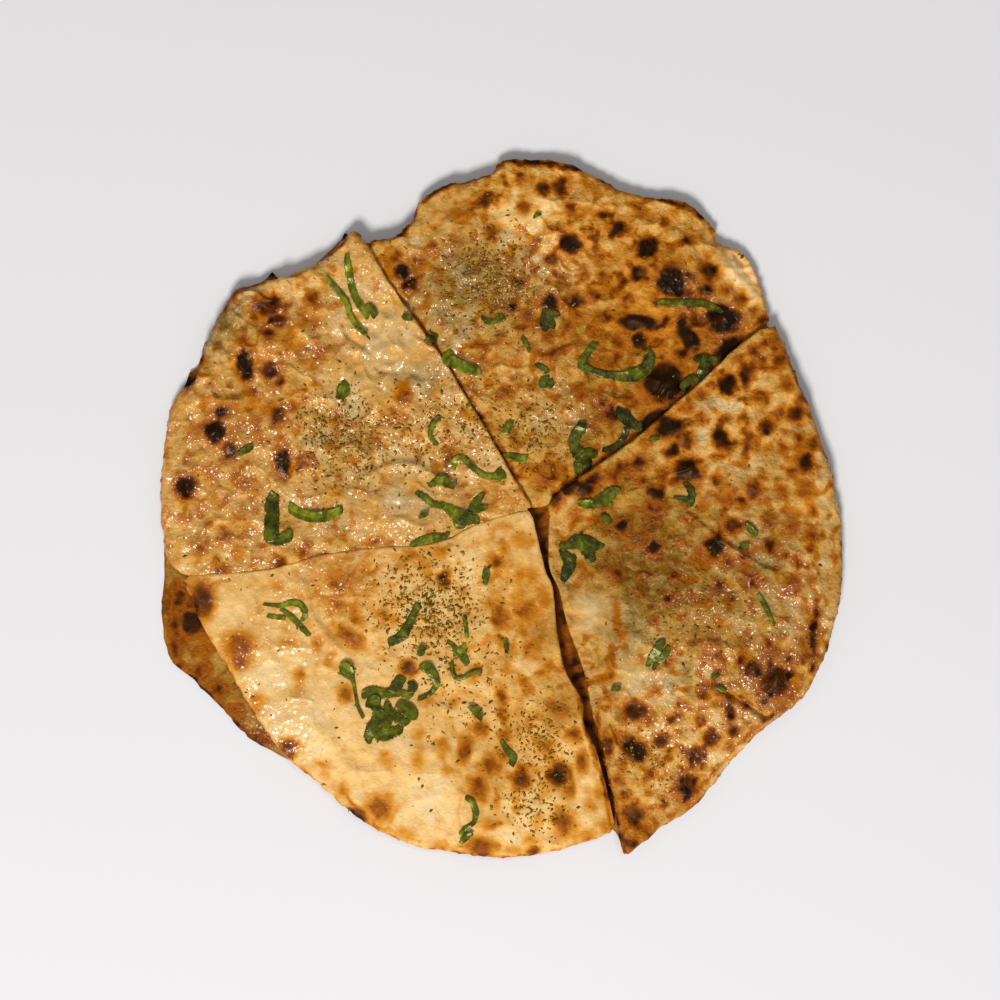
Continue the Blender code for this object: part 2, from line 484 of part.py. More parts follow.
def main():
    for thing in list(bpy.data.objects):
        bpy.data.objects.remove(thing)

    lower_edge = smooth_path(LOWER_RIM, LOWER_POINTS, closed=True)
    leaf_of_dough("lower_leaf", lower_edge, np.full(LOWER_POINTS, CUT_ROUND), (0, 0), LOWER_RINGS,
                  lower_height, 0, "crust_under")

    wedges, outlines, bits = {}, {}, {}
    for name, (tip, first, rim, second, middle, lift) in WEDGES.items():
        outlines[name], rounding = wedge_outline(tip, first, rim, second)

        def top(x, y, lift=lift):
            return crust_height(x, y, lift)

        wedges[name] = leaf_of_dough(name, outlines[name], rounding, middle, TOP_RINGS, top,
                                     LOWER_TOP + LEAF_GAP, "crust")
        bits[name] = bpy.data.collections.new(f"bits_{name}")
        bpy.context.scene.collection.children.link(bits[name])
    tree = surface_of(wedges.values())

    garnish = [strip(name, line, tree) for name, line in STRIPS.items()]
    garnish += [coriander_leaf(name, outline, tree) for name, outline in LEAVES.items()]
    taken = np.array([v.co[:2] for thing in garnish for v in thing.data.vertices]) / MM

    def fused(x, y, heading, length, width, rise, count, clear):
        """Puts a lozenge on the wedge under it, unless it would meet an edge or the garnish."""
        if np.min(np.hypot(*(taken - [x, y]).T)) < clear:
            return
        for name, outline in outlines.items():
            if inside(outline, x, y) and edge_distance(outline, x, y) > clear:
                hit = tree.ray_cast(Vector((x, y, 50)), Vector((0, 0, -1)))[0]
                lozenge(bits[name], x, y, hit.z, heading, length, width, rise, count)

    for x, y, heading, length, width in SCRAPS:
        fused(x, y, heading, length, width, 0.8, SCRAP_POINTS, 0.5 * length + 0.4)
    for x, y, heading in herb_flakes():
        if all(math.hypot(x - scrap[0], y - scrap[1]) > 5.5 for scrap in SCRAPS):
            fused(x, y, heading, FLAKE_LENGTH, FLAKE_WIDTH, 0.55, FLAKE_POINTS, FLAKE_CLEARANCE)
    for name, wedge in wedges.items():
        fuse(wedge, bits[name])


main()
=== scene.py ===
# %% [markdown]
# # A griddled flatbread, cut into four wedges
#
# The bread is a round of filled dough, browned on a griddle, brushed with fat, cut twice by a
# knife and strewn with chopped coriander and dried herb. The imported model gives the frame: every
# node in metres, +Z up, the bread lying on z = 0. This lesson dresses those plain solids. It
# keeps their outlines and heights and adds what a close look shows: crumpled crust, scorched
# spots, crisp rims, and leaves that curl.
#
# Sizes are written in millimetres, as a baker would measure them from the middle of the bread,
# and become metres only when a mesh is made.

import math

import bpy
import numpy as np
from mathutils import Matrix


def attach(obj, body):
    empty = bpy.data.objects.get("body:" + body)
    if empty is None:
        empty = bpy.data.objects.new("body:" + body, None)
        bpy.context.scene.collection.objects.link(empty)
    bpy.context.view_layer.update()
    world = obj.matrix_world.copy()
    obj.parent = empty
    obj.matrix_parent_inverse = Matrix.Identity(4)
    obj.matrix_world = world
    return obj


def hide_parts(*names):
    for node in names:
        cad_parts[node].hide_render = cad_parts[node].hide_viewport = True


# Metres in a millimetre
MM = 0.001

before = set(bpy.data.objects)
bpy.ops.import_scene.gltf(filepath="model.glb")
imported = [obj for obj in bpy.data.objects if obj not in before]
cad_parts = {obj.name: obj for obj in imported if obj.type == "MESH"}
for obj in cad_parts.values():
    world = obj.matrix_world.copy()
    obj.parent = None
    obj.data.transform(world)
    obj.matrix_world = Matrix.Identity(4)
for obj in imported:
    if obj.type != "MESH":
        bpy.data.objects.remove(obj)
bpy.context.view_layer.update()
print("nodes in the frame:", len(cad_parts))

# %% [markdown]
# ## Drawn lines
#
# A rim, a knife cut and a stem are all lines on the bread. A few points fix each one, and a
# smooth curve runs through them. A Bezier curve object could do this, but then the points along
# it would have to be read back from Blender. The Catmull-Rom formula gives them directly, evenly
# spaced, and carries further columns along, such as the width of a stem at each point.

# %% Smooth lines
# Points worked out between two given ones
CURVE_STEPS = 16


def smooth_path(points, count, closed=False):
    """count points evenly spaced along a Catmull-Rom curve through the given ones.

    Between points b and c, with neighbours a and d, the curve is half of
    2b + (c - a)t + (2a - 5b + 4c - d)t^2 + (3b - a - 3c + d)t^3, for t from 0 to 1.
    """
    points = np.array(points, float)
    if closed:
        points = np.vstack([points[-1:], points, points[:2]])
    else:
        points = np.vstack([2 * points[0] - points[1], points, 2 * points[-1] - points[-2]])
    a, b, c, d = points[:-3, None], points[1:-2, None], points[2:-1, None], points[3:, None]
    t = np.linspace(0, 1, CURVE_STEPS, endpoint=False)[None, :, None]
    spans = 2 * b + (c - a) * t + (2 * a - 5 * b + 4 * c - d) * t**2
    spans = 0.5 * (spans + (3 * b - a - 3 * c + d) * t**3)
    curve = np.vstack([spans.reshape(-1, points.shape[1]), points[-2:-1]])
    run = np.concatenate([[0], np.cumsum(np.hypot(*np.diff(curve[:, :2], axis=0).T))])
    at = np.linspace(0, run[-1], count + 1 if closed else count)[:count]
    return np.column_stack([np.interp(at, run, column) for column in curve.T])


def sideways(line):
    """The unit direction to the left of an open line at each of its points."""
    along = np.gradient(line, axis=0)
    along /= np.linalg.norm(along, axis=1, keepdims=True)
    return np.column_stack([-along[:, 1], along[:, 0]])


# %% [markdown]
# ## The four wedges and the leaf of dough under them
#
# Two cuts make the wedges. The lower one has opened, so each of its sides has its own line. Each
# rim goes round the bread anticlockwise. The lines are those of the solids in the frame, so a
# dressed wedge stands exactly where its solid does.

# %% Outlines
CUT_TOP_LEFT = [(10.1, 1.1), (5, 9.4), (-0.7, 19.1), (-6.8, 29.9), (-14.8, 42.5), (-20.9, 52.9),
                (-33.5, 70.6), (-42.5, 83.9), (-48.2, 94)]
CUT_LEFT = [(8.6, -1), (-0.7, -3.2), (-7.9, -5.4), (-13.3, -7.9), (-19.4, -11.2), (-29.5, -13.3),
            (-45.7, -14.4), (-65.5, -16.9), (-81.7, -21.6), (-97.9, -23.4), (-112.3, -24.1)]
CUT_RIGHT = [(17.6, 2.5), (25.2, 9), (38.9, 18.4), (50, 26.6), (61.2, 36.4), (71.3, 45),
             (83.9, 57.2), (92.9, 64.1)]
CUT_DOWN_BOTTOM_SIDE = [(12.6, -9), (15.8, -22), (18.4, -28.4), (19.8, -43.6), (23, -58),
                        (29.2, -69.5), (29.5, -76.7), (34, -86.8), (36.5, -95.8), (39, -105.5)]
CUT_DOWN_RIGHT_SIDE = [(16.6, -11.2), (16.9, -21.2), (20.4, -29.2), (23.6, -42.8), (28.4, -55.4),
                       (30.8, -65.2), (32.6, -74.5), (35.2, -83.9), (37.8, -95.4), (40.4, -106.6),
                       (42, -118.4)]

TOP_RIM = [(96.3, 68.2), (95.4, 73.1), (91.8, 83.2), (89.3, 90), (83.2, 93.6), (77, 96.8),
           (76.3, 101.2), (70.6, 107.3), (62.6, 112), (55.1, 112), (43.2, 114.8), (25.2, 124.2),
           (13.7, 126), (3.6, 126.4), (-1.4, 124.6), (-3.6, 121.3), (-11.5, 118.4), (-20.2, 117),
           (-29.2, 111.2), (-32.4, 104), (-38.5, 98.3), (-47.2, 96.5)]
LEFT_RIM = [(-50, 96.7), (-52.6, 99.7), (-56.2, 97.9), (-64.1, 90), (-78.1, 84.2), (-86.4, 82.4),
            (-95, 79.2), (-99.7, 74.5), (-105.5, 62.6), (-109.8, 52.9), (-110.9, 46.4),
            (-117.4, 40.3), (-121, 30.2), (-123.1, 3.2), (-121.3, -16.4), (-116, -23)]
BOTTOM_RIM = [(-115, -25.6), (-113, -30.6), (-106.6, -44.6), (-95.4, -63.4), (-79.9, -87.8),
              (-67.3, -97.9), (-50.4, -112.7), (-36.4, -119.9), (-21.2, -123.5), (-6.1, -125.6),
              (6.5, -125.3), (20.9, -123.1), (35.3, -118.4), (39.6, -116.6), (40.6, -112.9)]
RIGHT_RIM = [(42.8, -122), (44.6, -124.6), (51.5, -120.2), (56.9, -114.8), (68, -108.7),
             (74.2, -101.9), (84.2, -89.6), (95, -78.8), (104.8, -71.3), (112.3, -61.9),
             (119.5, -43.6), (122.8, -18.4), (120.2, 6.8), (112.3, 33.5), (106.2, 47.5),
             (102.2, 58.3), (98.6, 66)]
LOWER_RIM = [(94, 71), (88, 89), (76, 95), (69, 106), (54, 110.5), (42.5, 113.3), (25, 122.6),
             (8, 125.6), (-3, 121), (-20, 115.6), (-31, 103.5), (-40, 96.5), (-51.5, 96.5),
             (-57.6, 100.4), (-58.5, 96.8), (-74, 84), (-81.5, 83.4), (-83.4, 86.4), (-86.6, 82.6),
             (-98.5, 74.2), (-107, 56), (-113.2, 48.6), (-115.6, 42), (-119.6, 30), (-121.9, 3),
             (-122.6, -22), (-123, -40), (-119.6, -54.2), (-111.2, -62.3), (-101.2, -72.7),
             (-92.5, -82.1), (-79.9, -90), (-66.5, -97.2), (-50, -111.5), (-36, -118.6),
             (-6, -124.4), (20, -122), (38, -115.6), (45, -122.4), (56, -113.5), (73.2, -101.1),
             (94, -77.8), (111.2, -61), (118.3, -43), (121.6, -18.4), (119, 6.8), (105, 47.5)]

# %% Wedge outlines from those lines
# Wedge: tip, first side out, rim, second side out, middle of its rings, lift of its top
WEDGES = {
    "wedge_top": ((13.7, 0.4), (CUT_RIGHT, -1), TOP_RIM, (CUT_TOP_LEFT, 1), (28, 66), 0.0),
    "wedge_left": ((9, 0.2), (CUT_TOP_LEFT, -1.5), LEFT_RIM, (CUT_LEFT, 1), (-64, 32), 0.4),
    "wedge_bottom": ((11.2, -3), (CUT_LEFT, -1.5), BOTTOM_RIM, (CUT_DOWN_BOTTOM_SIDE, 0),
                     (-18, -62), 1),
    "wedge_right": ((17, -3.2), (CUT_DOWN_RIGHT_SIDE, 0), RIGHT_RIM, (CUT_RIGHT, 1.5),
                    (72, -18), 0.8),
}
# The number after a cut's line says which side of it the wedge is on, in these half widths
HALF_CUT = 0.35
# Points along a cut, a wedge's rim and the whole rim of the lower leaf
CUT_COUNT = 130
RIM_COUNT = 262
LOWER_COUNT = 420


def wedge_outline(tip, first, rim, second):
    """A wedge's closed outline: out along one cut, round the rim, and back along the other cut."""
    sides = []
    for line, side in (first, second):
        line = np.array(line, float)
        shifted = line + side * HALF_CUT * sideways(line)
        sides.append(smooth_path(np.vstack([[tip], shifted]), CUT_COUNT))
    return np.vstack([sides[0], smooth_path(rim, RIM_COUNT), sides[1][:0:-1]])


outlines = {name: wedge_outline(*entry[:4]) for name, entry in WEDGES.items()}
outlines["lower_leaf"] = smooth_path(LOWER_RIM, LOWER_COUNT, closed=True)
for name, outline in outlines.items():
    print(name, "outline:", len(outline), "points")

# %% [markdown]
# ## Unevenness
#
# Hand-rolled dough is never even. Value noise stands in for that: random heights on a square
# lattice, blended between the lattice points. Blender's own noise texture gives the same in a
# material, but a displacement by texture would be lost from a plain mesh, so the larger bumps are
# worked out here, where the same function also tells a leaf how high the crust is under it.

# %% Value noise and distances
# Lattice points each way, after which the noise repeats
LATTICE = 128


def noise(x, y, size, seed):
    """Value noise from -1 to 1 with bumps of the given size in millimetres.

    Inside a lattice cell the four corner values are blended by f = t^2 (3 - 2t) in x and in y.
    Each use has a seed of its own, so that no two patterns agree.
    """
    lattice = np.random.default_rng(seed).uniform(-1, 1, (LATTICE, LATTICE))
    u, v = x / size, y / size
    i, j = np.floor(u).astype(int), np.floor(v).astype(int)
    f, g = u - i, v - j
    f, g = f * f * (3 - 2 * f), g * g * (3 - 2 * g)
    i, j = i % LATTICE, j % LATTICE
    k, m = (i + 1) % LATTICE, (j + 1) % LATTICE
    near = lattice[i, j] * (1 - f) + lattice[k, j] * f
    far = lattice[i, m] * (1 - f) + lattice[k, m] * f
    return near * (1 - g) + far * g


def smoothstep(low, high, value):
    """0 below low, 1 above high, and t^2 (3 - 2t) between them."""
    t = np.clip((value - low) / (high - low), 0, 1)
    return t * t * (3 - 2 * t)


def line_distance(line, x, y):
    """How far each point is from the nearest stretch of a line, taken flat."""
    line = np.array(line, np.float32)
    found = np.full(x.shape, np.inf, np.float32)
    for (ax, ay), (bx, by) in zip(line, line[1:]):
        run = max((bx - ax) ** 2 + (by - ay) ** 2, 1e-9)
        t = np.clip(((x - ax) * (bx - ax) + (y - ay) * (by - ay)) / run, 0, 1)
        found = np.minimum(found, np.hypot(x - ax - t * (bx - ax), y - ay - t * (by - ay)))
    return found


DAB_FALL = 0.8


def dabs(entries, x, y, column):
    """The sum of soft round dabs of x, y, radius and strengths, for one column of strengths.

    Each dab adds its strength times exp(-0.8 (d / radius)^2), with d the distance from it.
    """
    total = np.zeros(x.shape)
    for entry in entries:
        away = ((x - entry[0]) ** 2 + (y - entry[1]) ** 2) / entry[2] ** 2
        total += entry[column] * np.exp(-DAB_FALL * away)
    return total


def inside(outline, x, y):
    """Which points lie within a closed outline.

    A ray to the right from such a point crosses the outline an odd number of times.
    """
    odd = np.zeros(x.shape, bool)
    for (ax, ay), (bx, by) in zip(outline, np.roll(outline, -1, axis=0)):
        if ay != by:
            odd ^= ((ay > y) != (by > y)) & (x < ax + (y - ay) * (bx - ax) / (by - ay))
    return odd


# %% [markdown]
# ## Scorched spots
#
# Where a blister of dough touched the hot iron it burnt, from amber through brown to nearly
# black. No texture repeats that pattern believably, because the eye reads the big spots one by
# one. So each spot is a listed ellipse of its own, and noise makes its edge ragged.
# The amount of scorching goes into an attribute of the mesh, and the material turns it into
# colour.

# %% Where the spots are
# For each piece: x, y, width, height, darkness from 0 to 1, and for some the lean in degrees
SPOTS = {
    "wedge_top": [
        (15.1, 115.2, 4, 4, 0.84), (20.5, 115.9, 4.3, 4.3, 0.84), (-6.5, 111.2, 10.1, 3.6, 0.62, 20),
        (7.9, 108.7, 4.3, 4.3, 0.62), (-3.2, 100.8, 3.6, 3.6, 0.62), (7.2, 100.4, 2.9, 2.9, 0.42),
        (-35.3, 85.3, 5.8, 4.3, 0.84), (-32.8, 81, 4, 4.3, 0.84), (24.8, 95.4, 6.1, 5.8, 1),
        (41.8, 100.8, 5.8, 5, 0.84), (52.2, 94, 5.8, 6.1, 1), (18, 89.6, 4.7, 4.7, 0.62),
        (36, 83.5, 3.6, 3.6, 0.62), (42.8, 82.8, 3.2, 3.6, 0.62), (49.7, 84.6, 4.7, 4.3, 0.84),
        (33.1, 77.4, 3.6, 3.6, 0.62), (40.7, 78.8, 3.6, 3.2, 0.62), (61.6, 82.1, 9.4, 11.5, 1, 12),
        (74.5, 85.3, 5.8, 5, 0.84), (73.1, 78.5, 4.7, 4.3, 0.84), (79.9, 67.7, 11.9, 9.4, 1),
        (49, 67.3, 13.7, 5.4, 1, -8), (67.3, 62.3, 4.7, 12.2, 1, 25), (49.7, 60.5, 5, 4.7, 1),
        (56.2, 59.8, 4.7, 5, 0.62), (58.3, 45.4, 13.7, 13.7, 1), (81.4, 57.6, 12.2, 6.5, 1, 35),
        (94.3, 67, 4.3, 4.3, 0.84), (17.3, 74.9, 4.3, 4.3, 1), (26.3, 74.5, 4, 4, 1),
        (4, 72.4, 3.2, 3.2, 0.62), (8.6, 69.5, 3.6, 3.2, 0.62), (24.1, 65.5, 3.2, 3.2, 0.62),
        (20.2, 56.9, 12.2, 2.5, 0.62, 20), (2.2, 42.5, 3.6, 3.6, 0.62), (5, 52.6, 4.3, 3.2, 0.42),
        (55.1, 31.7, 12.2, 7.2, 1, 40), (38.5, 33.8, 5, 4.3, 0.84), (33.8, 93.2, 3.2, 4.3, 0.62),
        (31.7, 99.7, 3.2, 3.2, 0.62), (37.1, 106.2, 2.9, 2.9, 0.62), (48.6, 109.4, 3.2, 2.5, 0.62),
        (58.7, 103.3, 3.2, 2.9, 0.62), (67.7, 96.8, 3.6, 3.2, 0.62), (36.7, 68, 3.2, 3.2, 0.62),
        (33.1, 63, 2.9, 2.9, 0.62), (39.6, 52.9, 3.2, 5.8, 0.62, -30), (47.5, 38.5, 3.6, 2.9, 0.62),
        (29.2, 83.5, 2.9, 2.9, 0.62), (21.2, 82.1, 2.5, 2.5, 0.62), (24.8, 107.3, 3.2, 3.2, 0.62),
        (11.2, 94.7, 2.9, 2.9, 0.62), (-7.9, 59, 5, 3.2, 0.42), (-8.6, 54, 4.3, 2.9, 0.42),
        (-0.7, 61.6, 3.6, 2.9, 0.42), (71.3, 68.8, 4, 3.6, 0.62), (67, 75.2, 3.2, 3.6, 0.62),
        (55.1, 75.2, 3.2, 3.2, 0.62), (58.7, 67.3, 3.2, 3.2, 0.62), (64.8, 55.8, 4, 3.6, 0.84),
        (71.3, 49.3, 3.6, 4.3, 0.62), (86, 75.2, 3.6, 4.3, 0.62), (80.3, 78.8, 3.2, 2.9, 0.62),
        (91.1, 70.9, 2.9, 2.9, 0.62), (46.1, 75.2, 2.9, 2.9, 0.62), (19.4, 101.2, 2.9, 2.5, 0.62),
        (42.5, 59, 3.2, 2.9, 0.62), (35.3, 38.5, 2.9, 2.9, 0.62), (28.1, 42.1, 2.9, 2.9, 0.62),
        (49.7, 30.2, 3.6, 3.2, 0.62), (29.9, 53.6, 2.5, 2.5, 0.42), (9.4, 14.8, 5, 3.2, 0.42),
        (15.5, 10.4, 3.6, 3.2, 0.62), (19.4, 14, 3.2, 4.3, 0.62), (6.5, 119.2, 3.6, 2.9, 0.62),
        (-0.7, 117.7, 4, 2.5, 0.42), (-16.6, 105.8, 5, 2.9, 0.42), (-25.9, 93.2, 5, 2.9, 0.42),
        (-29.5, 88.9, 3.6, 3.6, 0.62), (-38.5, 90.4, 3.6, 2.9, 0.62), (-16.9, 95.4, 3.6, 2.9, 0.42),
        (2.2, 90.7, 3.2, 3.2, 0.42), (5.8, 81.4, 3.2, 2.9, 0.62), (13.3, 67, 2.9, 2.9, 0.62),
        (16.6, 62.6, 2.9, 2.9, 0.62), (6.8, 64.4, 3.2, 2.5, 0.42)
    ],
    "wedge_left": [
        (-84.2, 72.7, 9.4, 7.2, 0.84), (-80.3, 67.7, 4.7, 4.3, 0.84), (-83.9, 61.9, 4.3, 4.3, 0.62),
        (-92.2, 52.2, 5, 9.4, 1), (-83.5, 50, 5, 4.7, 0.84), (-79.6, 45.7, 3.2, 3.2, 0.62),
        (-68, 76.3, 3.6, 3.6, 0.62), (-70.9, 71.3, 2.9, 2.9, 0.42), (-100.8, 35.3, 5, 4.3, 0.84),
        (-103, 27.7, 6.1, 7.2, 1), (-97.9, 21.2, 5, 5, 0.84), (-80.3, 33.8, 5, 5.4, 0.84),
        (-75.2, 36.7, 3.6, 3.6, 0.62), (-78.8, 17.3, 5, 7.6, 1), (-71.6, 17.3, 4.3, 4.3, 0.62),
        (-114.1, 7.6, 6.1, 6.8, 1), (-35.6, 40.3, 4.7, 4.3, 0.62), (-40, 33.1, 7.2, 4.3, 0.42, 30),
        (-19.1, 18.7, 3.2, 7.2, 0.62, -20), (-100.1, -9.4, 2.9, 2.9, 0.62),
        (-109.1, -13.7, 3.2, 2.9, 0.62), (-81, -19.8, 4, 4, 0.62), (-101.2, -22, 4.7, 3.6, 0.62),
        (-70.6, -15.5, 2.9, 2.9, 0.42), (-92.2, 8.6, 3.2, 3.2, 0.62), (-96.1, 11.5, 2.9, 2.9, 0.42),
        (-90.4, 41.4, 4, 2.9, 0.62), (-72.4, 58.3, 4.7, 3.2, 0.42), (-65.5, 55.4, 7.9, 3.2, 0.42, 25),
        (-59.8, 32, 2.5, 5.4, 0.42, -15), (-67.3, 67.3, 2.9, 2.5, 0.42), (-90, 3.2, 2.9, 2.9, 0.42),
        (-108.7, 0.4, 3.2, 3.2, 0.42), (-93.2, 30.6, 2.9, 2.9, 0.42), (-110.2, 28.4, 2.9, 3.6, 0.42),
        (-86.4, 24.8, 2.9, 2.5, 0.42), (-74.2, 28.4, 2.9, 2.9, 0.42), (-57.6, 75.2, 2.5, 2.9, 0.42),
        (-76, 62.6, 3.2, 2.9, 0.42), (-77.4, 56.5, 3.6, 2.5, 0.42), (-92.5, 59, 3.2, 2.9, 0.62),
        (-46.8, -13, 5.8, 2.9, 0.42), (-61.9, -18.4, 5, 2.9, 0.42), (-115.2, -4, 2.9, 2.9, 0.42),
        (-95.4, -15.1, 2.5, 2.5, 0.42), (-113, 19.4, 2.9, 2.9, 0.42), (-105.1, 12.2, 2.9, 2.9, 0.42),
        (-45.7, 24.8, 4.3, 3.2, 0.42)
    ],
    "wedge_bottom": [
        (-108, -32.8, 7.2, 11.5, 0.84), (-79.9, -27.4, 3.2, 3.2, 0.42),
        (-94.3, -49.3, 8.6, 10.1, 0.62), (-95, -54.4, 5.8, 5, 0.62), (-87.8, -69.8, 5.8, 7.2, 0.42),
        (-76.7, -85.7, 4.7, 4.3, 0.84), (-76.7, -47.9, 5, 3.6, 0.42), (-72.7, -61.2, 3.6, 6.5, 0.42),
        (-56.2, -66.6, 4, 5.4, 0.62), (-56.9, -65.2, 5, 4.3, 0.42),
        (-55.1, -46.1, 9.4, 4.7, 0.62, -40), (-66.6, -48.6, 2.9, 4.7, 0.42),
        (-59.8, -33.8, 3.2, 5.4, 0.42), (-52.2, -39.2, 3.6, 3.2, 0.42), (-43.2, -37.8, 4, 3.2, 0.42),
        (-58, -25.9, 12.6, 7.2, 0.42), (-33.5, -57.2, 4, 4, 0.84), (-29.9, -90.7, 4.7, 7.2, 0.42),
        (-21.2, -86.4, 2.9, 5.8, 0.42), (-13.3, -86.8, 4.3, 10.1, 0.62, -20),
        (-43.9, -107.6, 7.9, 8.6, 0.62), (-51.8, -110.2, 5.8, 2.9, 0.84, -30),
        (-64.4, -92.2, 3.2, 3.2, 0.42), (-57.2, -101.5, 3.2, 3.2, 0.42), (-3.6, -92.2, 4.7, 5.4, 0.62),
        (1.1, -81.7, 2.9, 3.2, 0.62), (-8.6, -100.1, 6.1, 7.9, 0.62), (6.8, -97.6, 5, 5.8, 0.84),
        (12.6, -94, 3.2, 3.2, 0.42), (20.5, -95.8, 6.1, 6.5, 1), (20.9, -73.1, 5.8, 4.3, 0.42),
        (15.5, -59, 4, 4, 0.42), (10.8, -50, 4.3, 4.3, 0.42), (-0.7, -38.5, 5, 5.8, 0.62),
        (8.3, -36.4, 5.8, 4.3, 0.62), (-20.9, -25.6, 2.5, 3.6, 0.84), (-0.4, -66.6, 2.9, 5, 0.62),
        (0.4, -73.1, 2.5, 5.8, 0.62), (-7.2, -79.6, 3.2, 4.3, 0.62), (22, -113, 7.2, 9.4, 0.62),
        (10.8, -119.5, 5, 4.3, 0.42), (-7.6, -122, 9.4, 6.5, 0.62), (-1.8, -105.5, 3.2, 6.5, 0.42),
        (5, -105.5, 2.2, 4.3, 0.42), (-2.9, -113, 7.2, 3.6, 0.42), (12.6, -112.7, 3.2, 3.2, 0.42),
        (31.7, -106.2, 3.2, 3.2, 0.42), (29.2, -90.7, 4, 6.5, 0.62), (11.5, -122.8, 1.8, 1.4, 0.84),
        (-33.1, -16.9, 5.8, 3.6, 0.42), (-22.3, -15.5, 5, 3.6, 0.42), (-27.7, -20.9, 4.3, 2.9, 0.42),
        (6.5, -11.2, 6.5, 5, 0.42), (1.1, -13, 3.2, 2.9, 0.42), (10.1, -23.8, 5, 4.3, 0.42),
        (-1.4, -19.4, 3.2, 3.2, 0.62), (6.5, -31, 4.3, 3.6, 0.42), (15.5, -32.8, 3.6, 5, 0.42),
        (-16.9, -68.8, 3.2, 2.9, 0.42), (-25.9, -68.8, 2.9, 2.5, 0.42), (2.9, -50.8, 3.6, 4.3, 0.42),
        (-0.7, -47.2, 2.9, 3.2, 0.42), (8.3, -65.2, 3.2, 4.3, 0.42), (1.1, -88.6, 3.6, 3.2, 0.62),
        (15.5, -85, 3.6, 3.2, 0.62), (26.3, -81.4, 3.2, 3.6, 0.62), (10.1, -77.8, 3.2, 3.2, 0.42),
        (-9.7, -58.7, 3.2, 2.9, 0.42), (-16.9, -57.2, 3.2, 3.2, 0.42), (15.5, -101.2, 3.2, 2.9, 0.42),
        (24.5, -101.2, 3.2, 3.2, 0.62), (35.3, -101.2, 2.9, 2.9, 0.42), (29.9, -117.4, 4.3, 3.6, 0.42),
        (37.1, -113.8, 2.9, 3.6, 0.42), (-69.1, -18.4, 5, 3.2, 0.42), (-49.3, -22, 5.8, 3.6, 0.42),
        (-85.3, -90.4, 3.2, 2.2, 0.42), (-100.4, -58.7, 3.6, 4.3, 0.42), (-72, -94.7, 2.9, 2.9, 0.42),
        (-34.9, -117.4, 5, 3.2, 0.42), (-22.3, -121.3, 4.3, 2.5, 0.42), (4.7, -122.8, 5, 2.2, 0.42),
        (-7.9, -94, 2.9, 3.6, 0.42), (-19.4, -94, 3.2, 2.9, 0.42), (-29.5, -81.4, 3.2, 3.2, 0.42),
        (-38.5, -40, 3.2, 2.9, 0.42), (-61.9, -54.4, 3.2, 2.9, 0.42), (-42.1, -90.4, 4.3, 3.6, 0.42),
        (1.1, -58, 2.9, 3.2, 0.42)
    ],
    "wedge_right": [
        (81.4, 45, 5.8, 6.1, 1), (87.8, 49, 4, 5.8, 0.84), (92.5, 53.3, 3.6, 3.6, 0.84),
        (100.1, 53.3, 4, 4, 0.84), (93.2, 40.3, 5, 5, 0.62), (105.5, 33.8, 6.1, 4.3, 0.84),
        (100.1, 34.6, 3.6, 3.6, 0.62), (94.7, 29.9, 4.3, 4.3, 0.84), (86.8, 31.3, 4.7, 4, 0.42),
        (79.9, 32.4, 4.7, 2.9, 0.62), (71.3, 32.4, 4.3, 4.3, 0.62), (79.2, 24.5, 5, 7.9, 0.84, 25),
        (88.9, 23.4, 5, 4.3, 0.62), (95.8, 21.6, 3.2, 3.2, 0.42), (100.8, 22, 2.9, 2.9, 0.62),
        (109.1, 16.9, 4.7, 4.7, 1), (111.6, 23.4, 3.2, 3.2, 0.84), (59.8, 29.5, 6.5, 6.5, 1),
        (66.2, 23.8, 4.3, 4.3, 0.84), (61.2, 20.9, 3.2, 3.2, 0.84), (66.6, 14, 9.4, 7.2, 1, -20),
        (49.3, 16.6, 4.3, 4.3, 0.84), (58.3, 13.3, 3.6, 3.6, 0.62), (50.4, 10.4, 2.9, 2.9, 0.62),
        (77.4, 10.8, 3.2, 3.2, 0.62), (93.2, 12.2, 2.9, 2.9, 0.42), (90, 6.8, 4, 5.8, 0.84),
        (100.8, 6.5, 3.6, 3.6, 0.62), (108.7, 5.8, 4.3, 4.3, 0.62), (81, 3.2, 3.2, 5, 0.62),
        (86, 2.2, 3.6, 3.6, 0.62), (54.7, 5.8, 5, 4.3, 0.84), (52.9, 0.7, 2.9, 2.9, 0.62),
        (57.6, 0, 3.2, 3.2, 0.62), (42.8, -6.5, 4.7, 4.3, 0.84), (82.4, -6.1, 5.4, 4.3, 0.84),
        (76.7, -13.7, 5.4, 7.2, 1), (54.7, -14.4, 4.3, 4, 0.84), (71.3, -16.9, 3.6, 3.6, 0.62),
        (80.6, -19.1, 3.6, 3.6, 0.62), (87.1, -19.1, 4, 4, 0.62), (104.4, -6.1, 4.3, 4.3, 0.62),
        (110.9, -10.1, 4.3, 4.3, 0.62), (40.3, -23.4, 4, 4, 0.62), (63, -24.5, 3.2, 3.2, 0.62),
        (89.6, -25.2, 5.4, 4.7, 0.62), (104.4, -26.6, 4.3, 4.3, 0.62), (41.4, -39.6, 3.2, 13, 0.42, 5),
        (61.2, -33.1, 4, 3.2, 0.62), (78.1, -27.7, 3.2, 2.9, 0.62), (76, -50, 5.8, 9.4, 0.42),
        (98.6, -62.3, 11.5, 11, 0.9), (90.7, -58, 5.8, 5.4, 0.84), (112, -45.4, 3.6, 14.4, 0.84),
        (109.1, -36, 3.6, 3.2, 0.42), (94.3, -69.1, 3.6, 3.6, 0.62), (47.5, -72.7, 7.9, 6.5, 0.84),
        (47.9, -87.1, 6.8, 6.8, 1), (37.8, -85.3, 3.2, 6.5, 0.84), (57.2, -83.2, 4.7, 4.7, 0.84),
        (53.3, -75.6, 3.2, 3.2, 0.62), (69.1, -88.6, 5.8, 5.8, 0.84), (65.2, -70.2, 2.9, 2.9, 0.62),
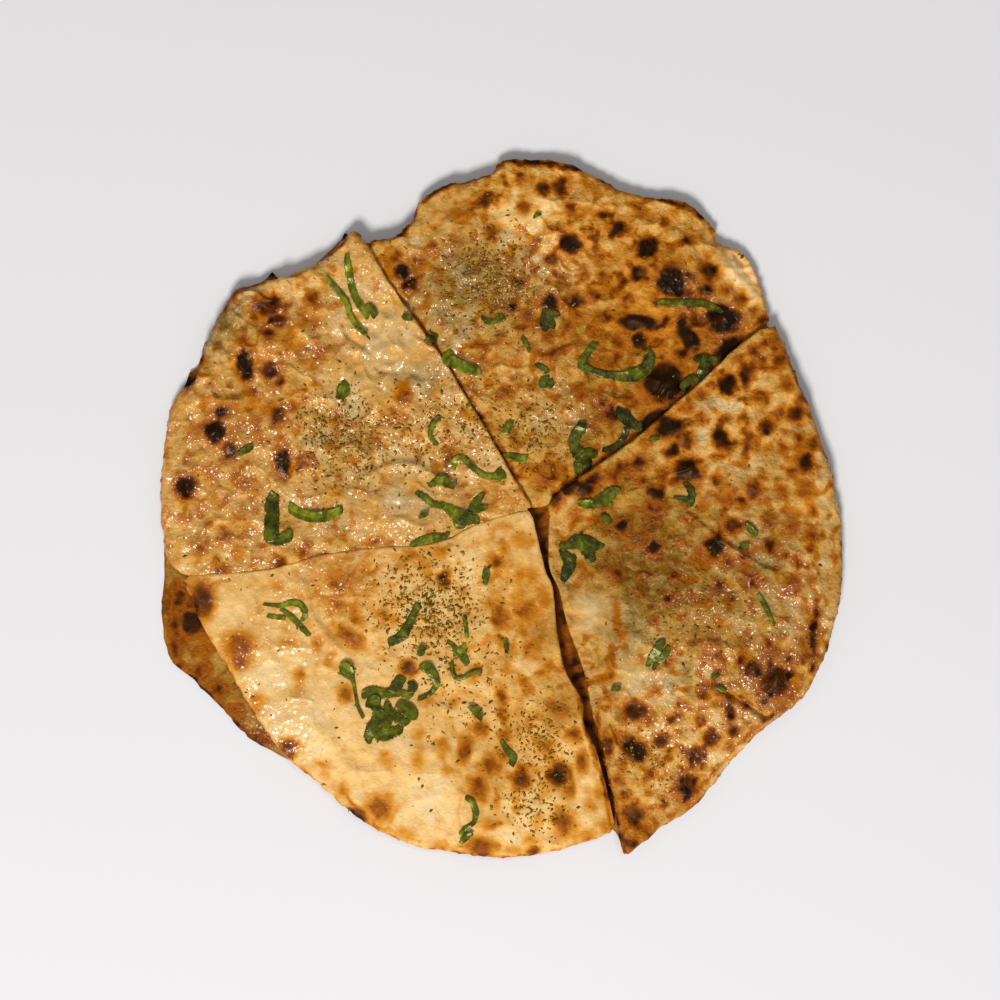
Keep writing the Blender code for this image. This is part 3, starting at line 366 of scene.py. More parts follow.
        (72.4, -66.6, 3.2, 3.2, 0.62), (75.2, -82.4, 5, 5, 0.84), (82.1, -72.4, 4, 6.5, 0.84),
        (83.2, -79.9, 3.2, 3.2, 0.84), (81.7, -85.3, 2.9, 2.9, 0.62), (66.6, -100.1, 7.2, 9.4, 0.84),
        (54, -94.7, 3.6, 3.6, 0.42), (41.8, -97.6, 3.2, 2.9, 0.62), (47.2, -110.2, 7.9, 6.5, 0.84),
        (46.1, -121, 6.5, 5, 0.62), (39.2, -54.4, 2.9, 5.8, 0.42), (39.6, -60.8, 2.5, 2.5, 0.42),
        (38.5, -68.4, 3.6, 3.6, 0.42), (24.8, 7.9, 6.5, 3.6, 1, 20), (30.2, 7.2, 5, 5, 1),
        (33.8, 11.2, 5, 3.6, 0.84, 20), (19.4, 3.6, 3.6, 4.3, 0.84), (39.6, 12.6, 4, 3.6, 0.62),
        (44.3, 15.5, 4.3, 3.2, 0.62), (33.1, -4, 3.2, 3.2, 0.42), (26.3, -2.2, 3.6, 2.9, 0.42),
        (71.3, -32.8, 3.6, 2.9, 0.62), (82.1, -32.8, 3.2, 2.9, 0.62), (87.5, -47.2, 4.3, 5, 0.42),
        (96.5, -50.8, 5.8, 5.8, 0.55), (103.7, -54.4, 4.3, 5, 0.62), (86.4, -54.4, 3.6, 4.3, 0.62),
        (78.5, -40, 2.9, 2.9, 0.42), (67.7, -4, 2.9, 3.6, 0.42), (96.5, -4, 3.2, 3.2, 0.62),
        (105.5, -18.4, 2.9, 3.2, 0.62), (49.7, -29.2, 2.9, 2.9, 0.42), (55.1, -40, 2.9, 3.2, 0.42),
        (64.1, -13, 3.2, 3.2, 0.42), (49.7, -9.4, 3.2, 3.2, 0.42), (37.1, 1.4, 3.2, 2.9, 0.62),
        (96.5, -13, 2.9, 2.9, 0.62), (110.9, -25.6, 3.2, 3.6, 0.42), (106.6, 25.9, 3.2, 2.9, 0.62),
        (91.1, 57.2, 3.2, 2.9, 0.62), (97.6, 60.8, 3.2, 3.2, 0.62), (102.6, 44.6, 3.2, 3.6, 0.62),
        (107.3, 39.2, 2.9, 2.9, 0.62), (85.7, 60.8, 2.9, 2.9, 0.62), (71.3, 41, 4.3, 3.2, 0.62),
        (65.9, 36.4, 4.3, 3.6, 0.62), (103.7, 14, 3.2, 3.2, 0.42), (111.6, -0.4, 2.9, 3.2, 0.42),
        (60.5, -54.4, 4.3, 3.6, 0.42), (55.1, -65.2, 3.2, 3.2, 0.42), (60.5, -76, 3.6, 3.2, 0.62),
        (87.5, -70.6, 3.2, 3.2, 0.62), (41.8, -81.4, 2.5, 3.2, 0.62), (43.2, -92.2, 2.9, 3.2, 0.62),
        (58.3, -104.8, 3.6, 3.6, 0.42), (71.3, -76, 3.6, 3.2, 0.62), (78.5, -65.2, 3.2, 2.9, 0.62),
        (51.5, -115.6, 4.3, 3.2, 0.62), (60.5, -86.8, 2.9, 2.9, 0.42), (44.6, -103, 2.9, 2.9, 0.62)
    ],
    "lower_leaf": [
        (-112.3, -41.4, 7.9, 7.9, 1), (-116.6, -32, 5, 5, 0.84), (-103.3, -65.2, 5, 4.3, 0.84),
        (-108.7, -58.7, 4.3, 3.6, 0.62), (-96.1, -74.2, 5, 3.6, 0.62), (-112.3, 45, 5, 7.9, 1),
        (-116.6, -47.2, 3.6, 3.6, 0.62), (-86.4, -83.9, 4.3, 3.2, 0.84), (-106.9, -50.8, 4.3, 5, 0.62),
        (-88.6, 83.2, 3.6, 2.9, 1), (-83.9, 85.7, 2.9, 2.9, 1), (-56.5, 99.4, 4.3, 3.6, 1),
        (-0.7, 124.2, 3.6, 2.5, 1)
    ],
}
print("spots placed by hand:", sum(len(spots) for spots in SPOTS.values()))

# %% [markdown]
# A crust also burns in lines: along the crisp lip of a rim and along a fold. These are drawn as
# strokes with a half width and a darkness. Three strokes are painted shade, not burns: two on the
# top wedge along its cuts, where the raised edges of its neighbours shade it, and a broad one on
# the lower leaf in the gap between the bottom and right wedges.

# %% Burnt lines and strokes of painted shade
# For each piece: a line, its half width and its darkness
STREAKS = {
    "wedge_top": [
        ([(2.2, 125.6), (13.7, 124.6), (28.1, 122.8)], 1, 0.95),
        ([(35.3, 119.2), (53.3, 113.8), (72.7, 106.2)], 0.9, 0.9),
        ([(-8.6, 120.6), (-0.7, 124.2)], 1, 0.7),
        ([(-27.7, 111.2), (-20.5, 116.3), (-11.5, 118.4)], 0.8, 0.6),
        ([(-46.8, 97.6), (-36.7, 99.7), (-31.7, 106.2)], 0.8, 0.7),
        # Painted shade: the next two strokes darken the top wedge beside its cuts, where the raised
        # edges of the left and right wedges shade it
        ([(5, 11), (-13, 41.5), (-32, 69.5)], 1, 0.5),
        ([(19, 5), (40, 21), (62, 39), (84, 59)], 1.2, 0.62),
    ],
    "wedge_left": [
        ([(-99.4, 73.4), (-94.3, 78.8), (-86.4, 82.4)], 0.9, 0.7),
        ([(-113.8, 42.1), (-110.2, 49.3), (-107.3, 59)], 0.9, 0.6),
        ([(-78.1, 85.3), (-61.9, 92.5), (-56.2, 97.6)], 0.8, 0.65),
    ],
    "wedge_right": [
        ([(113, -32.8), (112.3, -47.2), (111.6, -57.2)], 1.1, 0.85),
        ([(103.7, -68.8), (85.7, -83.9), (71.3, -101.2)], 0.7, 0.45),
        ([(44.6, -123.5), (43.2, -119.2), (41.4, -112)], 0.9, 0.8),
        ([(41.4, -110.2), (36.7, -90.4), (33.8, -72.4)], 0.8, 0.55),
        ([(96.5, 64.4), (103.7, 53.6), (109.4, 39.2)], 0.7, 0.5),
    ],
    "wedge_bottom": [
        ([(-58.3, -101.2), (-46.8, -112.7), (-29.5, -119.9)], 0.6, 0.35),
        ([(-22.3, -123.5), (-0.7, -125.6), (13.7, -123.5)], 0.6, 0.3),
        ([(-117.4, -24.8), (-110.2, -27.7), (-97.9, -25.6)], 0.7, 0.45),
        ([(38.9, -113.4), (37.4, -101.2), (31.7, -83.2), (28.1, -68.8)], 0.8, 0.6),
    ],
    "lower_leaf": [
        ([(-118.4, -27.4), (-118.4, -52.6)], 1.4, 0.7),
        ([(-115.9, -57.2), (-100.8, -73.1), (-86.4, -86)], 1.2, 0.65),
        # Painted shade: a broad dark stroke on the lower leaf where it shows in the gap between the
        # bottom and right wedges
        ([(12, -4), (17, -28), (24, -52), (31, -72), (38, -104)], 6, 0.7),
    ],
}

# How far a spot's edge is pushed about, and the sizes of its broad and its fine raggedness
SPOT_WARP = 0.7
RAG_BROAD = 3.1
RAG_FINE = 1.3
RAG_FINE_SHARE = 0.35

# The band in which a spot fades: its reach inwards and outwards, and what a spot's radius adds
SPOT_EDGE_IN = 0.6
SPOT_EDGE_OUT = 1.7
SPOT_EDGE_IN_GROWTH = 0.18
SPOT_EDGE_OUT_GROWTH = 0.12
SPOT_REACH = 6

# The toasted ring round a spot: its strength, its width, and what a spot's radius adds
GLOW = 0.4
GLOW_WIDTH = 1.6
GLOW_GROWTH = 0.3

# For each piece: how soft its spots' edges are, and how dark its darkest spots get
SOFTNESS_OF = {"wedge_top": 1.5, "wedge_left": 1.4, "wedge_bottom": 1.9, "wedge_right": 1.45,
               "lower_leaf": 1.4}
SCORCH_OF = {"wedge_top": 1.0, "wedge_left": 0.92, "wedge_bottom": 0.92, "wedge_right": 0.95,
             "lower_leaf": 0.9}
SPOT_POWER = 1.35

# Points along a drawn stroke, how far beyond its half width it fades, and its own raggedness
STROKE_POINTS = 24
STREAK_FADE = 2.4
STREAK_RAG = 3.4


def spot_distance(spot, x, y):
    """Distance in millimetres from the edge of a spot's ellipse, less than 0 within it."""
    sx, sy, width, height = spot[:4]
    turn = math.radians(spot[5]) if len(spot) > 5 else 0
    dx, dy = x - sx, y - sy
    along = (dx * math.cos(turn) + dy * math.sin(turn)) / (0.5 * width)
    across = (dy * math.cos(turn) - dx * math.sin(turn)) / (0.5 * height)
    return (np.hypot(along, across) - 1) * 0.25 * (width + height)


def scorching_and_shade(name, x, y):
    """How dark the crust is made, 0 to 1: the strongest of the spots, the burnt lines and the strokes
    of painted shade.

    A spot fades from its full darkness to nothing over a band at its edge, and the band is
    wider on a larger spot. Full darkness is the list's darkness^1.35 times the piece's share.
    Round it glows a toasted ring, exp(-(distance / its width)^2). Noise shifts the points
    before they are measured.
    """
    wx = x + SPOT_WARP * (noise(x, y, RAG_BROAD, 21) + RAG_FINE_SHARE * noise(x, y, RAG_FINE, 22))
    wy = y + SPOT_WARP * (noise(x, y, RAG_BROAD, 23) + RAG_FINE_SHARE * noise(x, y, RAG_FINE, 24))
    soft = SOFTNESS_OF[name]
    found = np.zeros(x.shape)
    for spot in SPOTS[name]:
        size = 0.25 * (spot[2] + spot[3])
        near = np.hypot(x - spot[0], y - spot[1]) < max(spot[2:4]) + SPOT_REACH
        away = spot_distance(spot, wx[near], wy[near])
        within = -soft * (SPOT_EDGE_IN + SPOT_EDGE_IN_GROWTH * size)
        beyond = soft * (SPOT_EDGE_OUT + SPOT_EDGE_OUT_GROWTH * size)
        fade = 1 - smoothstep(within, beyond, away)
        ring = np.maximum(away, 0) / (GLOW_WIDTH + GLOW_GROWTH * size)
        glow = GLOW * np.exp(-(ring**2))
        full = SCORCH_OF[name] * spot[4] ** SPOT_POWER
        found[near] = np.maximum(found[near], np.maximum(full * fade, spot[4] * glow))
    for line, half, darkness in STREAKS[name]:
        away = line_distance(smooth_path(line, STROKE_POINTS), wx, wy)
        ragged = 0.8 + 0.3 * noise(x, y, STREAK_RAG, 25)
        faded = 1 - smoothstep(0, STREAK_FADE * half, away)
        found = np.maximum(found, darkness * ragged * faded)
    return found


# %% [markdown]
# ## Height of the crust
#
# The solids already have the broad waves and puffs. The dressed crust adds what steam and the
# baker's hands left: a blister under each larger spot, folds and creases, a raised lip where one
# wedge's cut edge stands over its neighbour, and crumpling at several sizes. All of it is one
# function of x and y, so everything that lies on the bread can ask for the height.

# %% Waves, puffs and folds
# The tops of the lower leaf and of the wedges, and how far each falls towards the rim
LOWER_TOP = 2.6
LOWER_RIM_DROP = 0.5
CRUST_TOP = 7.0
RIM_DROP = 1.7

# Where the fall begins, from the bread's middle, and how far out it takes
RIM_DROP_START = 98
RIM_DROP_REACH = 26

# Broad waves: direction in degrees, length, height, phase
WAVES = [(20, 74, 0.35, 0.4), (105, 58, 0.3, 1.9), (63, 39, 0.2, 4.0), (150, 31, 0.15, 2.6)]

# Puffs: x, y, radius, height
PUFFS = [(-38.5, 1.4, 17, 1.5), (-38, 40, 13, 1.1), (-84, 62, 16, 0.8), (-34, -34, 30, 1.6),
         (-96, -45, 15, 0.7), (-30, -102, 20, 0.8), (30, -44, 13, 1.8), (62, -54, 16, 1.3),
         (72, 18, 18, 0.9), (96, -60, 14, 0.9), (11, 86, 15, 1.2), (58, 88, 20, 0.9),
         (34, 30, 13, 0.7)]

# Folds and creases: a line, its half width, and its height, less than 0 for a groove
FOLDS = {
    "wedge_left": [
        ([(-52.6, -4), (-52.9, 3.2), (-49, 11.2), (-42.1, 15.1), (-34.9, 16.2), (-27.7, 14),
          (-22.3, 9)], 1.6, 0.5),
        ([(-56.2, 63), (-46.4, 55.8), (-43.2, 50), (-33.5, 49.3), (-28.8, 46.8)], 1.3, -0.5),
        ([(-72.7, 64.4), (-61.9, 56.5), (-54, 57.2)], 2, 0.35),
        ([(-110.2, 40), (-94.3, 39.2), (-86.4, 43.6)], 2.2, 0.4),
        ([(-88.9, -4), (-72.7, -11.2), (-54.7, -14)], 2.5, 0.3),
        ([(-64.8, 41), (-51.1, 28.4), (-54.7, 14)], 3, 0.35),
        ([(-25.9, 39.2), (-18, 24.8), (-11.5, 14)], 2.5, 0.3),
        ([(-105.1, 57.2), (-100.8, 68), (-90.7, 75.2)], 1.6, 0.6),
        ([(-100.5, 54), (-96.5, 64), (-87, 71.5)], 1.5, -0.6),
    ],
    "wedge_bottom": [
        ([(-71.3, -26.6), (-69.1, -36.7), (-64.4, -43.9), (-58.7, -50)], 1.6, 0.55),
        ([(-0.7, -13), (4.7, -25.6), (6.5, -40), (5, -54.4)], 2.2, 0.4),
        ([(-14, -103.7), (-14.8, -110.2), (-13, -117.4)], 0.7, -0.5),
        ([(36.4, -101.2), (37.4, -109.1)], 0.7, -0.4),
        ([(17.3, -65.2), (19.4, -50.8), (16.6, -40)], 2, 0.35),
        ([(-72.7, -68.8), (-64.8, -81.4), (-54, -94)], 3.5, 0.4),
        ([(-38.5, -50.8), (-29.5, -65.2), (-11.5, -68.8)], 3, -0.35),
        ([(6.5, -68.8), (3.6, -86.8), (10.1, -101.2)], 2, 0.35),
    ],
    "wedge_right": [
        ([(67.3, -2.2), (78.5, -11.2), (89.3, -18.4), (99, -23.8)], 1, 0.6),
        ([(98.3, 25.2), (103, 28.4), (108, 31)], 0.8, -0.5),
        ([(80.3, -65.5), (87.8, -69.8), (95, -74.9)], 0.9, -0.9),
        ([(79.2, -67.3), (87.5, -72.4), (93.6, -76.7)], 1.2, 0.5),
        ([(31.7, -58.7), (35.3, -57.2), (39.6, -52.6)], 1, 0.45),
        ([(39.6, -77.8), (41.8, -83.5)], 0.7, -0.5),
        ([(35.3, -18.4), (42.5, -29.2), (45.4, -40), (43.2, -50.8)], 2.2, 0.5),
        ([(49.7, -47.2), (56.9, -32.8), (67.7, -18.4)], 1.8, 0.35),
        ([(71.3, -47.2), (82.1, -50.8), (92.9, -47.2)], 2, 0.35),
        ([(56.9, -65.2), (67.7, -61.6), (78.5, -54.4)], 2, 0.4),
        ([(67.7, 24.8), (78.5, 17.6), (85.7, 3.2)], 2.5, 0.3),
        ([(96.5, 46.4), (103.7, 28.4), (107.3, 3.2)], 2.5, 0.3),
    ],
    "wedge_top": [
        ([(15.1, 54.4), (25.6, 58.7)], 1, 0.5),
        ([(-15.8, 88.9), (-7.9, 75.2), (-2.9, 60.8)], 2.5, 0.35),
        ([(3.6, 96.8), (10.1, 88.9), (18, 86.8)], 3, 0.4),
        ([(71.3, 96.8), (79.2, 88.9), (87.8, 81)], 2.2, 0.6),
        ([(77, 98.3), (85, 90.4), (91.4, 81.7)], 1.2, -0.5),
        ([(20.9, 39.2), (35.3, 46.4), (49.7, 53.6)], 2.2, 0.3),
        ([(-22.3, 96.8), (-11.5, 100.4), (-0.7, 96.8)], 2, 0.4),
        ([(-36.7, 75.2), (-25.9, 57.2), (-18.7, 41)], 2.2, -0.4),
        ([(49.7, 104), (64.1, 96.8), (71.3, 82.4)], 2.2, 0.35),
    ],
}

# Raised and sunken strips along the cuts: line, height, half width
LIPS = {
    "wedge_top": [(CUT_TOP_LEFT, -1.2, 3.5), (CUT_RIGHT, -1.4, 4)],
    "wedge_left": [(CUT_TOP_LEFT, 0.7, 3), (CUT_LEFT, -0.3, 5)],
    "wedge_bottom": [(CUT_LEFT, -0.2, 3), (CUT_DOWN_BOTTOM_SIDE, -0.2, 4)],
    "wedge_right": [(CUT_RIGHT, 0.8, 3), (CUT_DOWN_RIGHT_SIDE, 0.2, 4)],
}

# How much taller the drawn folds stand than their list says
FOLD_GAIN = 1.8

# Crumpling: size of the bumps and their height, from the broadest to the finest
CRUMPLE = [(15, 0.5), (7.5, 0.52), (3.8, 0.5), (1.9, 0.2)]

# Wrinkles: how far apart they run and how high they stand, and how far and how often they swerve
WRINKLE_SIZE = 9
WRINKLE_HEIGHT = 0.75
WRINKLE_SWERVE = 2.5
SWERVE_SIZE = 6

# For each piece, how crumpled and wrinkled it is as a whole
ROUGHNESS_OF = {"wedge_top": 1.0, "wedge_left": 1.0, "wedge_bottom": 0.55, "wedge_right": 0.95}

# Where it is more crumpled than that: x, y, radius, and how much more
RUMPLED = [(-104, 62, 13, 1.5), (-90, 80, 10, 1.3), (-32, 90, 12, 0.8), (86, 86, 10, 1.2),
           (40, -62, 9, 0.4), (66, -66, 12, 0.3), (94, -28, 12, 0.3), (-42, 56, 13, 0.6),
           (10, 95, 10, 0.5), (36, -26, 9, 0.2), (-78, 12, 12, 0.3)]

# The narrowest spot that has a blister, and a blister's height as a share of its width
BLISTER_LEAST = 4.0
BLISTER_RISE = 0.055
BLISTER_FALL = 1.6

# The lower leaf's own crumpling, which only shows outside the wedges: its height and size
LOWER_CRUMPLE = 0.22
LOWER_CRUMPLE_SIZE = 4.5

# Between these distances from the middle the wedges end and the lower leaf lies bare
BARE_FROM, BARE_TO = 100, 116


def rim_fall(x, y):
    """0 in the bread's middle, growing with the square of the distance to 1 at its rim."""
    return np.clip((np.hypot(x, y) - RIM_DROP_START) / RIM_DROP_REACH, 0, 1) ** 2


def solid_height(x, y, lift):
    """The solids' own height: a level, sine waves and round puffs, less the fall to the rim.

    A wave is height * sin(2 pi d / length + phase), with d the way along its direction. A puff
    is height * exp(-2 (d / radius)^2), with d the distance from its middle.
    """
    z = np.full(x.shape, CRUST_TOP + lift, float)
    for direction, length, height, phase in WAVES:
        turn = math.radians(direction)
        z += height * np.sin(math.tau * (x * math.cos(turn) + y * math.sin(turn)) / length + phase)
    for px, py, radius, height in PUFFS:
        z += height * np.exp(-((x - px) ** 2 + (y - py) ** 2) / (0.5 * radius**2))
    return z - RIM_DROP * rim_fall(x, y)


def wedge_height(name, x, y):
    """Height of a dressed wedge: the solid's, plus folds, lips, blisters and crumpling.

    A fold is gain * height * exp(-(d / half width)^2), with d the distance from its line. A blister
    is a dome over its spot, exp(-1.6 q^2), with q the distance as a share of the spot's radius.
    Crumpling is noise at four sizes, and a wrinkle stands where noise n passes 0, as
    (1 - |n|)^5. Both are multiplied by the piece's roughness and by 1 + the rumpled places.
    """
    z = solid_height(x, y, WEDGES[name][5])
    for line, half, height in FOLDS[name]:
        away = line_distance(smooth_path(line, STROKE_POINTS), x, y)
        z += FOLD_GAIN * height * np.exp(-((away / half) ** 2))
    for line, height, half in LIPS[name]:
        z += height * np.exp(-((line_distance(line, x, y) / half) ** 2))
    for spot in SPOTS[name]:
        if min(spot[2:4]) >= BLISTER_LEAST:
            away = spot_distance(spot, x, y) / (0.25 * (spot[2] + spot[3])) + 1
            z += BLISTER_RISE * min(spot[2:4]) * np.exp(-BLISTER_FALL * away**2)
    rough = ROUGHNESS_OF[name] * (1 + dabs(RUMPLED, x, y, 3))
    for i, (size, height) in enumerate(CRUMPLE):
        z += rough * height * noise(x, y, size, 31 + i)
    swerved_x = x + WRINKLE_SWERVE * noise(x, y, SWERVE_SIZE, 36)
    swerved_y = y + WRINKLE_SWERVE * noise(x, y, SWERVE_SIZE, 37)
    folds = noise(swerved_x, swerved_y, WRINKLE_SIZE, 38)
    return z + rough * WRINKLE_HEIGHT * (1 - abs(folds)) ** 5


def lower_height(name, x, y):
    """Height of the lower leaf: level, a little thinner at its rim, and faintly crumpled there."""
    bare = smoothstep(BARE_FROM, BARE_TO, np.hypot(x, y))
    crumpling = bare * LOWER_CRUMPLE * noise(x, y, LOWER_CRUMPLE_SIZE, 41)
    return LOWER_TOP - LOWER_RIM_DROP * rim_fall(x, y) + crumpling


# %% [markdown]
# ## Colour of the crust
#
# Seen from above, the crust goes from cream where the dough puffed away from the iron, through
# tan and olive where the filling shows through, to orange-brown where it toasted. Two numbers
# say this at any point: tone, from dark to pale, and warmth, from grey to orange. Tone is partly
# painted light and shade as well: the bottom wedge is paler, and the top and right wedges and the
# lower leaf darker, as the light fell on them. Broad washes set them, as a painter would block in
# a picture before its details: each wash is a soft round dab, and all of them add up.

# %% Washes
# For each piece: x, y, radius, change of tone, change of warmth. The changes of tone partly paint
# light and shade.
WASHES = {
    "wedge_top": [
        (-22, 106, 11, 0.35, 0.2), (14, 110, 18, 0.4, 0.2), (-1, 117, 14, 0.15, 0.6),
        (32, 117, 10, 0.05, 0.5), (7, 106, 9, 0.7, 0), (21, 97, 10, 0.5, 0.2),
        (-12, 86, 15, -0.6, -0.75),
        (-22, 68, 12, -0.15, -0.5), (3, 75, 10, -0.3, 0.3), (21, 61, 13, -0.25, 0.2),
        (42, 97, 17, 0.35, 0.55), (64, 106, 10, 0.2, 0.5), (84, 88, 7, 1, 0),
        (88, 83, 6, 0.6, 0), (92, 75, 5, 0.9, 0.2),
        (50, 72, 19, 0.1, 0.95), (78, 61, 13, -0.2, 0.9), (35, 45, 13, -0.6, 0.3),
        (4, 45, 9, 0.15, 0.1), (14, 31, 9, 0.15, -0.2), (4, 34, 14, -0.25, 0),
        (-4, 55, 8, 0.05, 0.5), (11, 13, 6, 0.05, 0.7),
        (25, 25, 7, -0.35, 0), (40, 28, 9, -0.6, 0.3), (-39, 87, 6, 0.05, 0.7),
        (-37, 75, 5, -0.3, -0.3), (10, 89, 6, 0.1, -1.1), (2, 96, 5, 0.1, -0.6)
    ],
    "wedge_left": [
        (-40, 64, 13, 0.4, -0.35), (-55, 41, 13, 0.2, -0.35), (-84, 68, 12, 0.1, 0.9),
        (-77, 82, 6, 0.6, -0.7),
        (-73, 50, 9, -0.1, 0.7), (-98, 32, 13, -0.2, 0.7), (-100, 64, 6, -0.35, -0.5),
        (-62, 82, 8, 0.2, 0.1), (-40, 35, 7, -0.1, 0.7), (-26, 25, 10, 0.1, 0),
        (-58, 25, 12, -0.2, -0.35), (-103, 0, 17, -0.15, 0.6), (-62, 3, 13, -0.05, -0.35),
        (-37, -5, 9, 0.15, -0.35), (-14, 25, 8, 0, -0.1), (-1, 4, 6, 0.2, 0.9),
        (-44, -13, 9, -0.05, 0.5), (-12, 10, 8, -0.1, -0.2), (-84, -15, 10, -0.1, 0.3),
        (-112, -19, 6, 0.4, 0.1), (-107, 57, 5, -0.6, -0.8), (-103, 66, 6, -0.6, -0.9),
        (-97, 73, 6, -0.5, -0.8), (-87, 79, 5, -0.2, -0.9), (-68, 87, 5, -0.3, -0.5),
        (-36, 1.8, 5, 0, -0.8), (-35, 48, 6, -0.1, -0.7), (-26, 46, 6, -0.5, -0.8)
    ],
    "wedge_bottom": [
        (-62, -80, 20, 0.35, -0.2), (-26, -105, 13, 0.55, -0.5), (-86, -58, 9, 0.45, -0.1),
        (-98, -37, 6, 0.4, -0.1), (-108, -33, 5, -0.5, 0.8), (-95, -51, 7, -0.35, 1),
        (-57, -28, 14, -0.2, 0.9), (-24, -17, 8, 0.05, 0.6), (-14, -23, 6, 0.45, -0.35),
        (-35, -32, 8, 0.1, 0.1), (4, -29, 12, -0.2, 0.8), (14, -48, 9, 0.1, 0.35),
        (-14, -53, 12, 0, 0.1), (-22, -40, 11, 0, -0.1), (3, -84, 12, -0.2, 0.1),
        (18, -91, 11, 0.2, 0.1), (18, -46, 10, -0.9, 0), (22, -70, 10, -1.0, 0),
        (32, -95, 6, 0.25, 0.2), (-8, -101, 7, -0.3, 0.3), (10, -113, 12, 0.3, 0.2),
        (0, -121, 12, 0.2, -0.3), (-73, -51, 8, 0.1, 0.1), (-1, -65, 8, 0.1, 0.3),
        (16, -66, 6, 0.25, 0), (28, -109, 6, 0.25, 0.1)
    ],
    "wedge_right": [
        (32, -37, 7, 1, -0.5), (47, -59, 8, 0.5, -0.6), (50, -18, 19, -1.2, 0),
        (42, 10, 12, -0.2, 0.35), (66, 22, 12, 0.25, 0.2), (82, 36, 14, 0.8, -0.1),
        (104, 39, 7, 0.55, 0.4), (109, 3, 6, 0.65, 0.4), (86, -4, 15, -0.05, -0.35),
        (94, -35, 14, -0.35, -0.35), (97, -8, 8, -0.5, 0.1), (108, -22, 7, 0.4, -0.1),
        (68, -29, 12, -0.3, 0), (73, -51, 9, 0, 0.6),
        (97, -59, 9, -0.4, 1), (71, -84, 12, 0.85, 0.3), (86, -87, 6, 0.75, 0.2),
        (55, -76, 12, 0.3, 0.2), (50, -101, 9, 0.35, 0.4), (46, -119, 6, 0.1, 0.8),
        (24, -4, 6, 0.35, 0.9), (112, -47, 4, -0.4, 0.6), (64, -65, 8, 0.1, -0.2),
        (74.2, 36.7, 5, -0.2, -0.9), (46.8, -38.9, 6, -0.1, -0.9), (42.8, -50, 5, -0.5, -0.8),
        (64.1, -60.8, 7, -0.2, -0.9), (95.8, -19.8, 5, -0.4, -0.8)
    ],
    "lower_leaf": [
        (-112, -51, 9, 0.1, 0.4), (-114, -33, 8, -0.7, 0.8), (-103, -69, 7, -0.4, 0.6),
        (-112, 45, 5, -0.9, 0.5), (-94, -83, 7, -0.3, 0.5)
    ],
}

# For each piece: tone and warmth before the washes, speckling and fat on its surface; tone is partly
# painted light and shade
GROUND = {
    "wedge_top": (0.56, 0.05, 0.9, 0.5),
    "wedge_left": (0.62, 0.0, 0.7, 0.7),
    "wedge_bottom": (0.75, 0.15, 0.25, 0.5),
    "wedge_right": (0.54, -0.25, 0.85, 0.55),
    "lower_leaf": (0.34, -0.1, 0.6, 0.3),
}
TONE_OF_WASH = 0.30

# Smooth places with less speckling, for each: x, y, radius, and how smooth
SMOOTH = [(32, -37, 9, 1), (46, -59, 8, 0.8), (84, 89, 8, 0.9), (92, 76, 6, 0.8), (7, 106, 9, 0.7),
          (-40, 62, 14, 0.9), (-52, 42, 10, 0.6), (-35, 0, 13, 0.7), (14, 31, 9, 0.5),
          (104, 40, 7, 0.7), (108, 4, 6, 0.7), (84, -88, 7, 0.7), (-22, 106, 8, 0.6),
          (-112, -20, 7, 0.6)]

# Places with more speckling than the rest of their piece: x, y, radius, and how much more
SPECKLED = [(-14, -34, 20, 0.45), (18, -62, 16, 0.35), (6, -92, 16, 0.15), (-52, -30, 14, 0.35)]

# Pools of fat, for each: x, y, radius
FAT = [(-104, 14, 26), (-96, -12, 16), (-64, -14, 18), (-60, 60, 16), (92, -46, 26),
       (64, 80, 7), (82, 68, 8), (-82, -58, 15), (-80, -78, 12), (72, -80, 18), (8, 84, 16),
       (22, 36, 12), (-30, 12, 16), (-20, 52, 16), (-22, 84, 12)]
FAT_OF_POOL = 0.5

# Where the dried herb fell thickest: x, y, spread, and its share of the flakes
HERB_DRIFTS = [(-4, 82, 17, 0.17), (10, 28, 15, 0.08), (-57, 25, 17, 0.17), (-22, 27, 18, 0.09),
               (-26, -36, 19, 0.24), (14, -82, 14, 0.07), (11, -106, 12, 0.05), (-12, -66, 22, 0.05),
               (72, -34, 20, 0.05), (50, -90, 14, 0.03)]

# How strongly the fine dust of the herb shows where a drift is densest
DUST_GAIN = 1400


def crust_looks(name, x, y):
    """The attributes that the crust's material reads, at each point seen from above."""
    tone, warmth, speckle, fat = GROUND[name]
    speckle = speckle * (1 - dabs(SMOOTH, x, y, 3)) + dabs(SPECKLED, x, y, 3)
    herb = [(hx, hy, spread, share / spread**2) for hx, hy, spread, share in HERB_DRIFTS]
    return {
        # The spots, the burnt lines and the strokes of painted shade
        "scorch_and_shade": scorching_and_shade(name, x, y),
        "tone": tone + TONE_OF_WASH * dabs(WASHES[name], x, y, 3),
        "warmth": warmth + dabs(WASHES[name], x, y, 4),
        "speckle": np.clip(speckle, 0, 1),
        "fat": fat + FAT_OF_POOL * dabs([(*pool, 1) for pool in FAT], x, y, 3),
        "dust": np.clip(DUST_GAIN * dabs(herb, x, y, 3), 0, 1),
    }


# %% [markdown]
# ## From rings to a mesh
#
# Each leaf of dough is star-shaped about some point of its own, so rings around that point fill
# it with no gaps: a grid of rings and spokes. A flat grid with a displacement would leave stairs
# along the outline, and a sculpt could not be written down. The rings run out over the top,
# round the edge, down the side and back under, and a point closes them at each end.

# %% Grids and fans of faces
def grid_faces(rows, columns, start=0, closed=True):
    """Corner numbers of the quads between rows of vertices, each row closed into a ring."""
    row, column = np.mgrid[0:rows - 1, 0:columns if closed else columns - 1]
    right = (column + 1) % columns
    corners = [row * columns + column, (row + 1) * columns + column,
               (row + 1) * columns + right, row * columns + right]
    return start + np.stack(corners, axis=-1).reshape(-1, 4)


def fan_faces(centre, ring, outward):
    """Corner numbers of the triangles between a ring of vertices and the point that closes it."""
    following = np.roll(ring, -1)
    pair = (ring, following) if outward else (following, ring)
    return np.column_stack([np.full(len(ring), centre), *pair])


